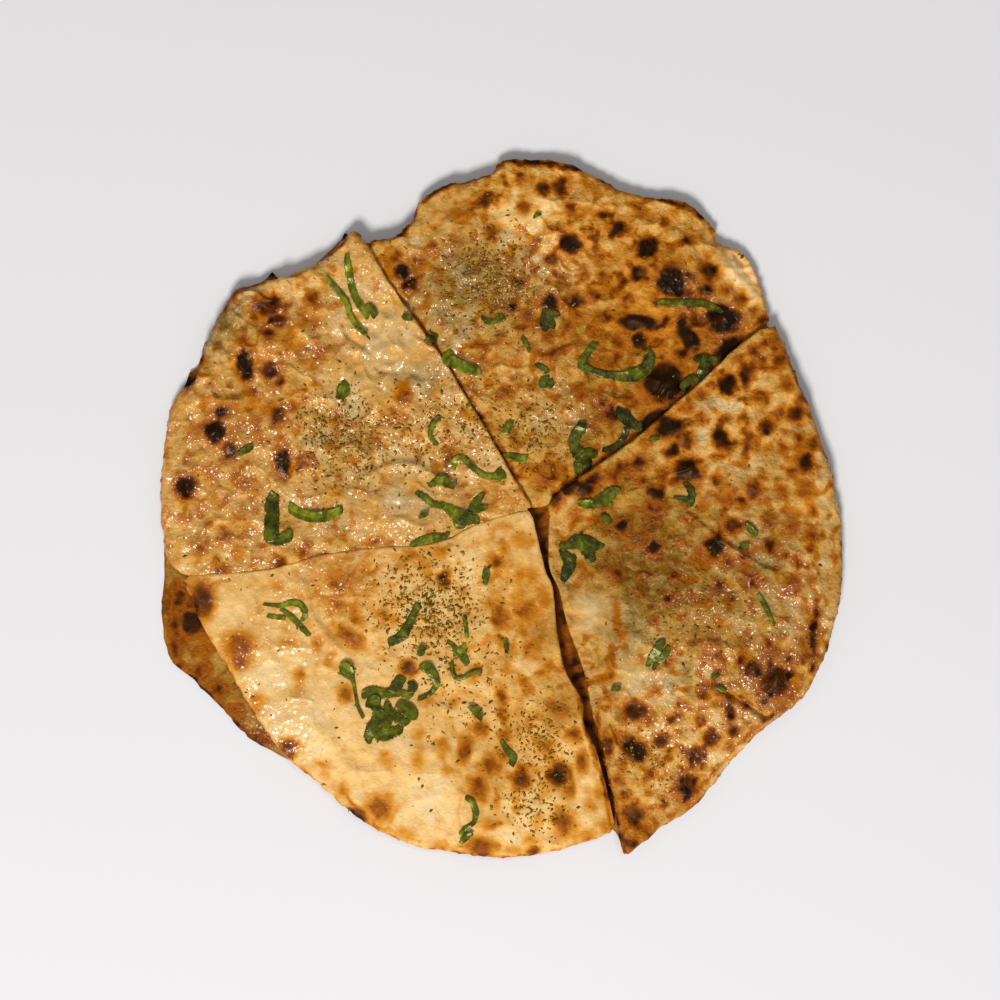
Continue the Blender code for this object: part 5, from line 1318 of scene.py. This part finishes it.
# %% Torn leaves
# The lobes of each leaf, drawn in the same way
LEAF_LOBES = {
    "stem_long": [
        [(-55.8, 91.8, 1.8), (-55.4, 86.8, 2.9), (-54.4, 81.7, 2.9), (-53.3, 77.4, 2.9),
         (-51.8, 74.2, 2.9), (-49.3, 70.9, 3.2), (-48.2, 68.4, 1.8)],
        [(-49, 73.8, 2.2), (-47.2, 72.4, 3.2), (-46.1, 70.2, 3.2), (-46.8, 68.8, 1.8)]
    ],
    "shred_hook": [
        [(-81.7, 5.8, 3.6), (-82.8, 2.2, 5.4), (-82.8, -3.2, 5.4), (-82.8, -8.3, 5.8),
         (-83.2, -12.2, 5)],
        [(-84.2, -10.8, 3.2), (-80.6, -11.5, 4), (-77.4, -10.1, 4.7), (-75.6, -7.6, 2.9)]
    ],
    "leaf_left": [
        [(-26.3, 7.9, 1.4), (-23.8, 9.7, 3.2), (-21.2, 10.1, 4.3), (-18.4, 8.6, 3.2),
         (-16.2, 9.4, 1.4)],
        [(-23.4, 10.4, 1.4), (-22.3, 12.2, 2.2), (-21.6, 13, 1.1)]
    ],
    "sprig_hub": [
        [(-31, 6.1, 1.8), (-28.1, 4.3, 2.9), (-25.2, 1.8, 2.9), (-20.9, 1.1, 2.9), (-18, -0.7, 4.3),
         (-14.4, -2.9, 6.5), (-11.2, -3.6, 5), (-7.9, -4.3, 1.8)],
        [(-11.5, -1.8, 2.9), (-10.1, 0.7, 3.6), (-8.6, 3.2, 3.2), (-6.5, 5.8, 1.4)],
        [(-10.8, -0.7, 2.9), (-7.9, 0, 2.9), (-5, 0.7, 1.4)],
        [(-16.6, -2.9, 3.6), (-15.5, -5, 4.3), (-14.4, -7.2, 2.9)]
    ],
    "leaf_top": [
        [(15.5, 72, 2.2), (15.8, 68.8, 4.3), (15.5, 65.9, 4), (15.8, 63.7, 2.2)],
        [(16.6, 70.2, 2.9), (18.7, 70.2, 2.9), (20.9, 70.2, 1.4)],
        [(16.9, 68.8, 3.2), (18, 66.2, 2.9), (18, 64.4, 1.4)]
    ],
    "leaf_top_low": [
        [(11.9, 52.2, 1.4), (14, 51.1, 2.5), (16.6, 49, 2.9)],
        [(15.5, 47.9, 3.2), (15.1, 45.4, 4.3), (16.2, 43.6, 3.2)],
        [(16.9, 46.4, 2.9), (18.4, 43.9, 1.8)]
    ],
    "leaf_rim": [
        [(68.8, 54.4, 1.8), (71.6, 54, 3.6), (74.9, 53.6, 3.6), (78.1, 54, 1.4)],
        [(73.4, 52.9, 4.3), (72.4, 50, 4.3), (70.6, 47.5, 3.2)],
        [(70.2, 47.9, 3.2), (67.3, 46.4, 3.2), (65.2, 44.3, 2.9), (65.5, 41.4, 1.4)]
    ],
    "leaf_vee": [
        [(29.2, 32, 2.9), (28.1, 28.4, 4.7), (25.9, 25.6, 4.3), (25.9, 22.3, 4.3),
         (28.1, 19.4, 5.8), (30.2, 17.3, 5), (32, 14.4, 1.8)],
        [(28.8, 20.5, 3.6), (31.7, 19.8, 4.3), (34.6, 19.8, 2.2)],
        [(27.4, 16.9, 4.3), (27.4, 14, 2.9), (27.7, 11.2, 1.4)]
    ],
    "leaf_dark": [
        [(41, 36, 2.2), (42.8, 34.2, 4), (45.7, 31.3, 4.7), (48.6, 29.5, 3.6), (51.1, 30.6, 1.8)],
        [(43.2, 35.3, 2.2), (45.4, 33.8, 2.9), (46.4, 32, 2.2)],
        [(45, 29.5, 2.9), (43.9, 25.9, 2.5), (41.4, 22.7, 2.5), (38.5, 21.6, 2.2), (36, 21.2, 1.4)]
    ],
    "leaf_bright": [
        [(27, 2.2, 1.8), (29.9, 1.8, 3.6), (33.5, 1.8, 4), (37.1, 4, 4.7), (40, 6.1, 4.3),
         (42.5, 7.6, 1.4)],
        [(37.4, 2.2, 2.5), (39.2, 1.4, 1.8)]
    ],
    "leaf_bunch": [
        [(20.5, -13, 1.8), (23.4, -13.3, 2.9), (27, -11.9, 5.8), (30.2, -12.6, 6.5),
         (33.8, -13.3, 4.3), (36.7, -13.7, 1.8)],
        [(28.8, -14, 4.3), (31.3, -16.6, 4.3), (32.8, -19.1, 2.9)],
        [(20.9, -14.4, 1.8), (23, -17.3, 4.3), (24.5, -19.8, 4.7), (23, -23, 4.3),
         (21.6, -26.3, 1.8)],
        [(24.5, -16.9, 3.2), (26.6, -18.7, 2.5)],
        [(28.1, -11.2, 1.8), (28.4, -8.3, 1.1)]
    ],
    "leaf_right": [
        [(65.5, 9.7, 1.8), (67.7, 7.2, 2.9), (68.4, 4.3, 2.9), (67.7, 1.8, 2.9), (67, 0.4, 1.4)],
        [(67.7, 3.2, 2.9), (64.4, 3.6, 2.2), (61.6, 4.3, 1.1)]
    ],
    "leaf_frilly": [
        [(52.2, -56.9, 1.8), (53.6, -54, 3.2), (55.4, -51.1, 4), (57.2, -47.9, 3.2),
         (58, -46.4, 1.4)],
        [(55.1, -54.4, 2.9), (57.2, -53.6, 3.2), (59, -51.5, 2.9), (60.1, -49.3, 1.8)],
        [(54, -57.6, 1.4), (55.8, -55.4, 2.2)]
    ],
    "leaf_twig": [
        [(-86, -34.2, 1.1), (-82.8, -34.6, 1.4), (-79.6, -34.9, 1.8), (-76, -33.8, 2.5),
         (-72.7, -34.2, 2.5), (-70.9, -36.7, 2.5), (-70.9, -39.2, 2.2), (-72.4, -40, 1.4)],
        [(-79.6, -36, 1.4), (-77, -37.8, 2.2), (-74.2, -40.3, 2.2), (-71.6, -43.2, 2.2),
         (-69.1, -45.7, 1.8)],
        [(-84.6, -38.5, 1.4), (-81.4, -38.9, 1.8), (-77.8, -39.2, 1.8)]
    ],
    "leaf_sprig": [
        [(-19.8, -47.5, 1.1), (-17.6, -49, 1.8), (-16.2, -51.1, 2.9), (-14, -53.3, 3.2),
         (-12.2, -56.2, 1.8)],
        [(-15.8, -51.5, 2.5), (-14, -50, 2.5), (-13.3, -48.2, 1.1)],
        [(-14.8, -51.8, 2.2), (-12.6, -51.5, 1.8)],
        [(-16.6, -52.2, 1.8), (-17.6, -52.6, 1.1)]
    ],
    "leaf_large": [
        [(-50.6, -67.2, 2.2), (-48.6, -66.2, 5), (-45.7, -66.7, 6.5), (-42.6, -66.4, 4.6),
         (-39, -66.2, 3.4), (-36, -66.2, 2.8), (-32.4, -67.7, 3.4)],
        [(-49.1, -69.8, 3), (-46.2, -69.3, 6.5), (-43.7, -70.8, 4.5)],
        [(-39.6, -65.7, 2.6), (-38, -63.4, 4.6), (-36.5, -61.5, 4.2), (-34.7, -60.8, 1.6)],
        [(-32.4, -66.2, 3.2), (-32.1, -63.9, 4.1), (-33.1, -61.8, 2.2)],
        [(-43.2, -71.3, 3.6), (-44.7, -74.9, 4.1), (-46.5, -78.5, 4.8), (-47.8, -81.6, 4.4),
         (-48, -84.4, 1.8)],
        [(-46, -81.6, 5.4), (-42.6, -81.1, 5.2), (-39, -80.1, 4.4), (-35.4, -78.8, 3)],
        [(-38, -69.8, 3.6), (-34.9, -71.3, 5.6), (-32.4, -73.9, 5.2), (-31.8, -75.9, 2.6)],
        [(-42.1, -69.3, 2.2), (-40.1, -72.9, 3.6), (-37, -75.4, 4.2), (-33.4, -77.2, 3)],
        [(-45.6, -72.2, 3.6), (-42.8, -75.2, 6), (-40.4, -78.4, 4.4)]
    ],
}

# %% [markdown]
# A leaf rests on the highest bits of crust under it and spans the dips between them. So the
# ground under a line is felt at the line and to both sides, the largest value taken, and the run
# of heights smoothed, as a stiff strip would lie.

# %% Feeling for the ground
def crust_at(x, y):
    """The height of the bread at each point: the wedge's that is there, or the lower leaf's."""
    x, y = np.atleast_1d(x).astype(float), np.atleast_1d(y).astype(float)
    z = lower_height("lower_leaf", x, y)
    for name in WEDGES:
        here = inside(outlines[name][::4], x, y)
        if here.any():
            z[here] = wedge_height(name, x[here], y[here])
    return z


def bridged(heights):
    """Heights along a stiff strip: three times, each point rises to the mean of its neighbours."""
    for _ in range(3):
        heights[1:-1] = np.maximum(heights[1:-1], (heights[:-2] + heights[2:]) / 2)
    return heights


# %% [markdown]
# Coriander has a toothed edge, it curls as it wilts, and a knife cuts it off slanting. All three
# go into the strip itself, so that they show from every side. The strip is flat in section, not
# round, because a round one looks like a worm.

# %% A lobe of leaf
# Points round a lobe, points along each millimetre of it, and the least it gets
AROUND = 16
PER_MM = 3
LEAST_ALONG = 12

LEAF_THICKNESS = 0.34
LEAF_GAP = 0.06

# Length of a tooth, and how far teeth drift along the edge
TOOTH = 1.9
TOOTH_DRIFT = 5.0

# How far a lobe's blunt ends reach as a share of its width, and the reach of the slanting cut
BLUNT = 0.22
SLANT_REACH = 2.5

# Size and height of the ribs across a leaf, and how often its curl changes
RIB_SIZE = 1.2
RIB_HEIGHT = 0.09
CURL_SIZE = 4.5
TILT = 0.4


def toothed(along, depth, seed):
    """An edge's reach along a line: 1, cut in by slanting teeth, each of its own depth.

    A tooth rises with the share t of the way along it, from 1 - depth to 1, and drops at once.
    """
    place = along / TOOTH + noise(along, np.full(along.shape, 3.7), TOOTH_DRIFT, seed)
    own = 0.5 + 0.5 * noise(along, np.full(along.shape, 9.3), TOOTH, seed + 1)
    return 1 - depth * own * (1 - place % 1) ** 1.3


def straight_path(points, count):
    """count points evenly spaced along straight stretches between the given ones."""
    points = np.array(points, float)
    run = np.concatenate([[0], np.cumsum(np.hypot(*np.diff(points[:, :2], axis=0).T))])
    at = np.linspace(0, run[-1], count)
    return np.column_stack([np.interp(at, run, column) for column in points.T])


def lobe_path(line):
    """x, y and width along a lobe, the way along it from 0 to 1, and its length.

    The path is halfway between the smooth line and the straight one. The way is halfway between
    even steps t and (1 - cos(pi t)) / 2, which sets points closer together at the ends.
    """
    line = np.array(line, float)
    run = np.sum(np.hypot(*np.diff(line[:, :2], axis=0).T))
    count = max(LEAST_ALONG, int(run * PER_MM))
    path = 0.5 * (smooth_path(line, count) + straight_path(line, count))
    even = np.linspace(0, 1, count)
    way = 0.5 * (0.5 - 0.5 * np.cos(math.pi * even) + even)
    return np.column_stack([np.interp(way, even, column) for column in path.T]), way, run


def resting(path, half, side):
    """The floor under a lobe, and half of how much higher it is on the right of it than the left."""
    ground = [crust_at(*(path[:, :2] + s * half[:, None] * side).T) for s in (-1, -0.4, 0.4, 1)]
    left = bridged(np.maximum(ground[0], ground[1]))
    right = bridged(np.maximum(ground[2], ground[3]))
    return bridged(np.maximum(left, right)), 0.5 * (right - left)


def lobe(line, rise, thickness, fold, teeth, seed):
    """Points of a thin flat strip carried along a line of x, y and width.

    At the angle a round it, the point is half * c to the side and thickness/2 * s up, on top of
    the ground, where c and s are cos a and sin a with their sizes to the power 0.5, which makes
    the section a flat slab. fold turns its sides up or down by c^2, ribs wave it along its
    length, teeth cut in to its sides, and its ends are cut off slanting.
    """
    path, way, run = lobe_path(line)
    count = len(path)
    along, to_end = way * run, np.minimum(way, 1 - way) * run
    blunt = np.clip(to_end / (BLUNT * path[:, 2]), 0, 1)
    half = 0.5 * path[:, 2] * (1 - (1 - blunt) ** 2) ** 0.25
    side = sideways(path[:, :2])
    ahead = np.column_stack([side[:, 1], -side[:, 0]])
    floor, lean = resting(path, half, side)

    angle = math.tau * np.arange(AROUND) / AROUND
    out = np.sign(np.cos(angle)) * abs(np.cos(angle)) ** 0.5
    up = np.sign(np.sin(angle)) * abs(np.sin(angle)) ** 0.5
    reach = np.where(out > 0, toothed(along, teeth, seed)[:, None],
                     toothed(along, teeth, seed + 3)[:, None])
    draw = np.random.default_rng(seed)
    slant = draw.uniform(0.1, 0.5, 2) * draw.choice([-1, 1], 2)
    ends = np.where(way < 0.5, slant[0], slant[1]) * (1 - smoothstep(0, SLANT_REACH, to_end))
    ribs = RIB_HEIGHT * noise(along, np.full(count, 5.1), RIB_SIZE, seed + 5) + RIB_HEIGHT
    bent = fold * (0.25 + 0.75 * noise(along, np.full(count, 2.2), CURL_SIZE, seed + 6))

    tilt = lean[:, None] * out
    z = floor[:, None] - TILT * abs(tilt) + TILT * tilt + LEAF_GAP + rise + 0.5 * thickness
    z = z + 0.5 * thickness * up + (bent * half)[:, None] * (out**2 - 0.4) + ribs[:, None]
    z = z + (0.5 * abs(bent) * half)[:, None]
    xy = path[:, None, :2] + (half[:, None] * reach * out)[..., None] * side[:, None]
    xy = xy + ((ends * half)[:, None] * out)[..., None] * ahead[:, None]
    rings = np.concatenate([xy, z[..., None]], axis=-1)
    tips = rings[[0, -1]].mean(axis=1)
    return np.vstack([rings.reshape(-1, 3), tips]), count


# %% Several lobes as one piece
# How far each lobe lies above the last
LOBE_STEP = 0.05

# Least and most of a lobe's share of the fold, and of its tone
FOLD_SHARES = (0.5, 1.3)
LOBE_TONES = (0.38, 0.66)

# Slant and size of the fine ribs that the colour shows
VEIN_SLANT = 0.6
VEIN_SIZE = 1.1


def herb_piece(name, lobes, thickness, fold, teeth, seed, shade=0.0):
    """Several lobes as one piece, with a tone for each, the place across it and its ribs."""
    points, quads, triangles = [], [], []
    looks = {"tone": [], "across": [], "ribs": []}
    start = 0
    draw = np.random.default_rng(seed)
    across = np.cos(math.tau * np.arange(AROUND) / AROUND)
    for i, line in enumerate(lobes):
        own = seed + 7 * i
        bend = fold * draw.uniform(*FOLD_SHARES)
        made, count = lobe(line, LOBE_STEP * i, thickness, bend, teeth, own)
        quads.append(grid_faces(count, AROUND, start))
        ring = start + np.arange(AROUND)
        head, tail = start + count * AROUND, start + count * AROUND + 1
        triangles.append(fan_faces(head, ring, True))
        triangles.append(fan_faces(tail, ring + (count - 1) * AROUND, False))
        points.append(made)
        looks["tone"].append(np.full(len(made), draw.uniform(*LOBE_TONES) + shade))
        everywhere = np.tile(across, count)
        looks["across"].append(np.append(everywhere, [0, 0]))
        step = np.repeat(np.arange(count), AROUND) / PER_MM
        slanted, half = step + VEIN_SLANT * abs(everywhere), 7 * np.sign(everywhere)
        looks["ribs"].append(np.append(noise(slanted, half, VEIN_SIZE, own + 2), [0, 0]))
        start += len(made)
    looks = {look: np.concatenate(values) for look, values in looks.items()}
    points, quads, triangles = np.vstack(points), np.vstack(quads), np.vstack(triangles)
    return make_piece(name, points, quads, triangles, looks, coriander)


# %% [markdown]
# ## The coriander's finish
#
# Fresh leaf is dark green with a paler vein, and moist, so it shines a little. Each lobe has a
# tone of its own and two noises cloud it. The vein is where the place across the lobe is near 0,
# and fine ribs run slanting from it.

# %% The coriander's material
LEAF_GREENS = [(0.0, linear(24, 24, 0)), (0.35, linear(56, 58, 1)), (0.7, linear(92, 96, 5)),
               (1.0, linear(136, 140, 30))]
LEAF_TINT = (1.0, 0.95, 0.45, 1)


def coriander_material():
    """Green from each lobe's tone, clouded by noise, with a paler vein along the middle."""
    made = bpy.data.materials.new("chopped_coriander")
    made.use_nodes = True
    tree = made.node_tree
    shader = tree.nodes["Principled BSDF"]
    place = node(tree, "TexCoord").outputs["Object"]
    tone = node(tree, "Attribute", attribute_name="tone").outputs["Fac"]
    across = node(tree, "Attribute", attribute_name="across").outputs["Fac"]
    clouds = grain(tree, place, 1.2, 2)
    shades = grain(tree, place, 4.2, 1, offset=3.3)
    ribs = node(tree, "Attribute", attribute_name="ribs").outputs["Fac"]
    vein = maths(tree, "SUBTRACT", 1, between(tree, maths(tree, "ABSOLUTE", across), 0.04, 0.2))
    clouded, shaded = (maths(tree, "SUBTRACT", value, 0.5) for value in (clouds, shades))
    for value, strength in ((clouded, 0.7), (shaded, 1.3), (ribs, 0.12), (vein, 0.08)):
        tone = maths(tree, "MULTIPLY_ADD", value, strength, tone)
    tree.links.new(ramp(tree, tone, LEAF_GREENS), shader.inputs["Base Color"])
    shader.inputs["Roughness"].default_value = 0.3
    shader.inputs["Specular IOR Level"].default_value = 0.45
    shader.inputs["Specular Tint"].default_value = LEAF_TINT
    bump = node(tree, "Bump", {"Height": clouds, "Strength": 0.6, "Distance": 0.25 * MM})
    tree.links.new(bump.outputs[0], shader.inputs["Normal"])
    return made


coriander = coriander_material()

# %% [markdown]
# Three kinds of coriander lie on the bread, and each has its own make: a stem is thick and plain,
# a shred is thin and barely toothed, and a leaf is deeply toothed but curls less, because its
# lobes hold each other. Each piece stands for the plain solid of its name.

# %% The coriander's pieces
# For each kind: thickness, fold and depth of its teeth
STEM_MAKE = (0.9, 0.0, 0.05)
SHRED_MAKE = (LEAF_THICKNESS, 0.4, 0.12)
LEAF_MAKE = (LEAF_THICKNESS, 0.28, 0.42)

# The first seed of the strips and of the leaves, and the step from one leaf's to the next
STRIP_SEED, LEAF_SEED, LEAF_SEED_STEP = 100, 200, 11

# Change of tone of the pieces that are paler or darker than the rest
SHADES = {
    "stem_beside": 0.3, "shred_arch": 0.2, "shred_thin": 0.1, "sprig_top": 0.25,
    "shred_cut_left": 0.15, "shred_cut_top": 0.15, "shred_smile": 0.05, "shred_u": -0.1,
    "shred_cross": 0.05, "stem_pale": 0.1, "stem_fine": 0.15, "stem_curl": 0.1,
    "sprig_bottom": 0.05, "shred_low": -0.3, "shred_rim_low": 0.15, "stem_long": 0.1,
    "shred_hook": -0.12, "leaf_left": 0.05, "leaf_top": -0.25, "leaf_top_low": -0.1,
    "leaf_rim": -0.28, "leaf_vee": -0.15, "leaf_dark": -0.35, "leaf_bright": 0.15,
    "leaf_bunch": -0.3, "leaf_right": -0.3, "leaf_twig": 0.3, "leaf_sprig": 0.15,
    "leaf_large": -0.05,
}


def strew(name, lobes, make, seed):
    """One piece of coriander that stands for its plain solid."""
    piece = herb_piece("herb_" + name, lobes, *make, seed, SHADES.get(name, 0.0))
    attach(piece, "root")
    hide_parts(name)


for i, (name, line) in enumerate(STRIPS.items()):
    strew(name, [line], STEM_MAKE if name.startswith("stem") else SHRED_MAKE, STRIP_SEED + i)
for i, (name, lobes) in enumerate(LEAF_LOBES.items()):
    strew(name, lobes, LEAF_MAKE, LEAF_SEED + LEAF_SEED_STEP * i)

# %% [markdown]
# ## Scraps and dried herb
#
# The smallest scraps of coriander share one piece. The dried herb is thousands of flakes, each
# far smaller than a grain of rice, so a flake is only an eight-sided lozenge, and all of them
# are computed at once as arrays. Particles or instances would be lighter to keep, but they don't
# survive as a plain mesh.

# %% Scraps
# x, y, heading in degrees, length and width
SCRAPS = [
    (-57, 42.5, 70, 6.6, 5.2), (-92.2, 21.2, 30, 6.4, 3.2), (-8.6, 3, 60, 6.4, 3),
    (-34, 68.8, 20, 3.6, 3.2), (-25.4, 61.4, -40, 4.4, 2.6), (2.2, 29.2, 60, 5.6, 3),
    (8.6, 59.2, -62, 6.6, 1.8), (12.6, 105.6, 30, 3.4, 1.8), (54.6, 25.2, 10, 4.2, 2),
    (37.4, -3.6, -50, 4.6, 3), (89.6, -7.6, -40, 6, 3), (86.8, -13.6, 25, 4.6, 2.4),
    (41, -64.4, 0, 3.6, 2.4), (76.6, -60, 35, 4.4, 2), (78.8, -64.6, -30, 4.6, 2.2),
    (-5.9, -24.4, -95, 6.2, 3), (-28.9, -50.8, 70, 4.2, 3.4), (-55.6, -57.4, -40, 6, 4.6),
    (-9.4, -73.1, -48, 7, 3), (-12.8, -118.2, -140, 6, 2.4), (1.5, -49.6, -85, 5, 2),
    (-33.8, 68.8, -20, 4, 2.6), (-25.2, 61.2, 10, 4.3, 2.4), (-28.1, -2.2, 20, 4, 2),
    (-12, 37, 40, 2.6, 1.2)
]
SCRAP_MAKE = (LEAF_THICKNESS, 0.4, 0.45)
SCRAP_SEED = 500


def scrap_line(x, y, heading, length, width):
    """A short line through x, y with a width at its ends and middle."""
    turn = math.radians(heading)
    dx, dy = 0.5 * length * math.cos(turn), 0.5 * length * math.sin(turn)
    return [(x - dx, y - dy, 0.7 * width), (x, y, width), (x + dx, y + dy, 0.6 * width)]


scrap_lines = [scrap_line(*scrap) for scrap in SCRAPS]
scraps = herb_piece("herb_scraps", scrap_lines, *SCRAP_MAKE, SCRAP_SEED)
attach(scraps, "root")

# %% [markdown]
# The dried herb was sprinkled by hand, so it lies in drifts with a few flakes astray. The drifts
# are the ones that stain the crust with dust, so that flakes and stain agree.

# %% Dried herb flakes
FLAKES = 4200
FLAKE_SEED = 8

# Share of the flakes that fell astray, how far from the middle, and how tight the drifts are
STRAY_SHARE = 0.14
STRAY_REACH = 115
DRIFT_TIGHTNESS = 0.55

# Length of the shortest flake and how much longer one may be, and width as shares of length
FLAKE_LEAST = 0.7
FLAKE_MORE = 1.6
FLAKE_SLIMNESS = (0.3, 0.65)

# Height above the crust of a flake's rim, top and underside, and how far its corners tip
FLAKE_RIM, FLAKE_TOP, FLAKE_UNDER = 0.08, 0.15, -0.1
FLAKE_TIP = 0.08


def flake_places():
    """x and y of the flakes: normal draws about each drift, and a few strays over all the bread."""
    draw = np.random.default_rng(FLAKE_SEED)
    groups = [draw.normal((x, y), DRIFT_TIGHTNESS * spread, (int(FLAKES * share), 2))
              for x, y, spread, share in HERB_DRIFTS]
    groups.append(draw.uniform(-STRAY_REACH, STRAY_REACH, (int(FLAKES * STRAY_SHARE), 2)))
    return np.vstack(groups)


def flake_mesh():
    """Points and faces of all flakes: four points round a lozenge, one above and one below.

    A flake's length is least + more u^2, with u drawn evenly from 0 to 1, so most are short.
    """
    places = flake_places()
    x, y = places.T
    on_bread = np.zeros(len(x), bool)
    for name in WEDGES:
        on_bread |= inside(outlines[name][::4], x, y)
    x, y = x[on_bread], y[on_bread]
    z = crust_at(x, y)
    draw = np.random.default_rng(FLAKE_SEED + 1)
    count = len(x)
    length = FLAKE_LEAST + FLAKE_MORE * draw.uniform(0, 1, count) ** 2
    width = length * draw.uniform(*FLAKE_SLIMNESS, count)
    turn = draw.uniform(0, math.tau, count)
    corner = math.tau * np.arange(4) / 4
    along, over = 0.5 * length[:, None] * np.cos(corner), 0.5 * width[:, None] * np.sin(corner)
    px = x[:, None] + along * np.cos(turn)[:, None] - over * np.sin(turn)[:, None]
    py = y[:, None] + along * np.sin(turn)[:, None] + over * np.cos(turn)[:, None]
    tilt = draw.uniform(-FLAKE_TIP, FLAKE_TIP, (count, 4))
    rim = np.stack([px, py, z[:, None] + FLAKE_RIM + tilt], axis=-1)
    above = np.stack([x, y, z + FLAKE_TOP], axis=-1)[:, None]
    below = np.stack([x, y, z + FLAKE_UNDER], axis=-1)[:, None]
    points = np.concatenate([rim, above, below], axis=1).reshape(-1, 3)
    ring = np.arange(4)
    upper = np.column_stack([np.full(4, 4), ring, (ring + 1) % 4])
    lower = np.column_stack([np.full(4, 5), (ring + 1) % 4, ring])
    faces = (6 * np.arange(count)[:, None, None] + np.vstack([upper, lower])[None]).reshape(-1, 3)
    return points, faces, np.repeat(draw.uniform(0, 1, count), 6)


# %% [markdown]
# The flakes are matt, from olive to a dull straw colour, with one tone for each, because a flake
# is too small to show a pattern.

# %% The dried herb's piece
DRIED_GREENS = [(0.0, linear(100, 74, 8)), (0.5, linear(138, 104, 24)),
                (1.0, linear(180, 138, 54))]


def dried_material():
    """Dull olive, a tone for each flake."""
    made = bpy.data.materials.new("dried_herb")
    made.use_nodes = True
    tree = made.node_tree
    tone = node(tree, "Attribute", attribute_name="tone").outputs["Fac"]
    shader = tree.nodes["Principled BSDF"]
    tree.links.new(ramp(tree, tone, DRIED_GREENS), shader.inputs["Base Color"])
    shader.inputs["Roughness"].default_value = 0.8
    shader.inputs["Specular IOR Level"].default_value = 0.1
    return made


points, faces, tones = flake_mesh()
no_quads = np.zeros((0, 4), int)
flakes = make_piece("herb_flakes", points, no_quads, faces, {"tone": tones}, dried_material())
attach(flakes, "root")

# %% [markdown]
# ## Floor, light and camera
#
# The bread lies on a plain pale floor, lit by a broad soft light from its lower side, a small
# one from the other side that opens the shadows, and an even sky. The camera looks straight down.
# It stands off by the focal length over the sensor's width times the width it must see, so the
# bread's size in the picture follows from real sizes.

# %% Floor
FLOOR_HALF = 3000


def plain_material(name, colour, roughness):
    """One even colour and roughness."""
    made = bpy.data.materials.new(name)
    made.use_nodes = True
    shader = made.node_tree.nodes["Principled BSDF"]
    shader.inputs["Base Color"].default_value = colour
    shader.inputs["Roughness"].default_value = roughness
    return made


corners = np.array([(-1, -1, 0), (1, -1, 0), (1, 1, 0), (-1, 1, 0)], float) * FLOOR_HALF
floor = make_piece("floor", corners, np.array([[0, 1, 2, 3]]), np.zeros((0, 3), int), {},
                   plain_material("pale_floor", linear(236, 234, 235), 0.8))

# %% Light
# Elevation and azimuth in degrees, diameter in metres, and watts
KEY = (48, -104, 0.8, 60.1)
FILL = (72, 55, 0.5, 5.5)
LIGHT_DISTANCE = 2.6
SKY = 0.24


def disk_light(name, elevation, azimuth, size, watts):
    """A round area light at the lights' distance from the bread's middle, turned towards it."""
    made = bpy.data.lights.new(name, "AREA")
    made.shape, made.size, made.energy = "DISK", size, watts
    placed = bpy.data.objects.new(name, made)
    elevation, azimuth = math.radians(elevation), math.radians(azimuth)
    placed.location = (LIGHT_DISTANCE * math.cos(elevation) * math.cos(azimuth),
                       LIGHT_DISTANCE * math.cos(elevation) * math.sin(azimuth),
                       LIGHT_DISTANCE * math.sin(elevation))
    placed.rotation_euler = (math.pi / 2 - elevation, 0, azimuth + math.pi / 2)
    bpy.context.scene.collection.objects.link(placed)


disk_light("key", *KEY)
disk_light("fill", *FILL)

world = bpy.data.worlds.new("sky")
world.use_nodes = True
world.node_tree.nodes["Background"].inputs["Color"].default_value = (1, 1, 1, 1)
world.node_tree.nodes["Background"].inputs["Strength"].default_value = SKY
bpy.context.scene.world = world
bpy.context.scene.view_settings.view_transform = "Standard"

# %% Camera
# Focal length and sensor width, then how wide a view is seen, its middle and the bread's level
LENS = 85
SENSOR = 36
VIEW_WIDTH = 360
VIEW_MIDDLE = (-0.72, 3.24)
BREAD_LEVEL = 7
CAMERA_HEIGHT = BREAD_LEVEL + VIEW_WIDTH * LENS / SENSOR

lens = bpy.data.cameras.new("camera")
lens.lens, lens.sensor_width = LENS, SENSOR
camera = bpy.data.objects.new("camera", lens)
camera.location = (VIEW_MIDDLE[0] * MM, VIEW_MIDDLE[1] * MM, CAMERA_HEIGHT * MM)
bpy.context.scene.collection.objects.link(camera)
bpy.context.scene.camera = camera
print("camera height above the floor:", round(camera.location.z, 3), "m")
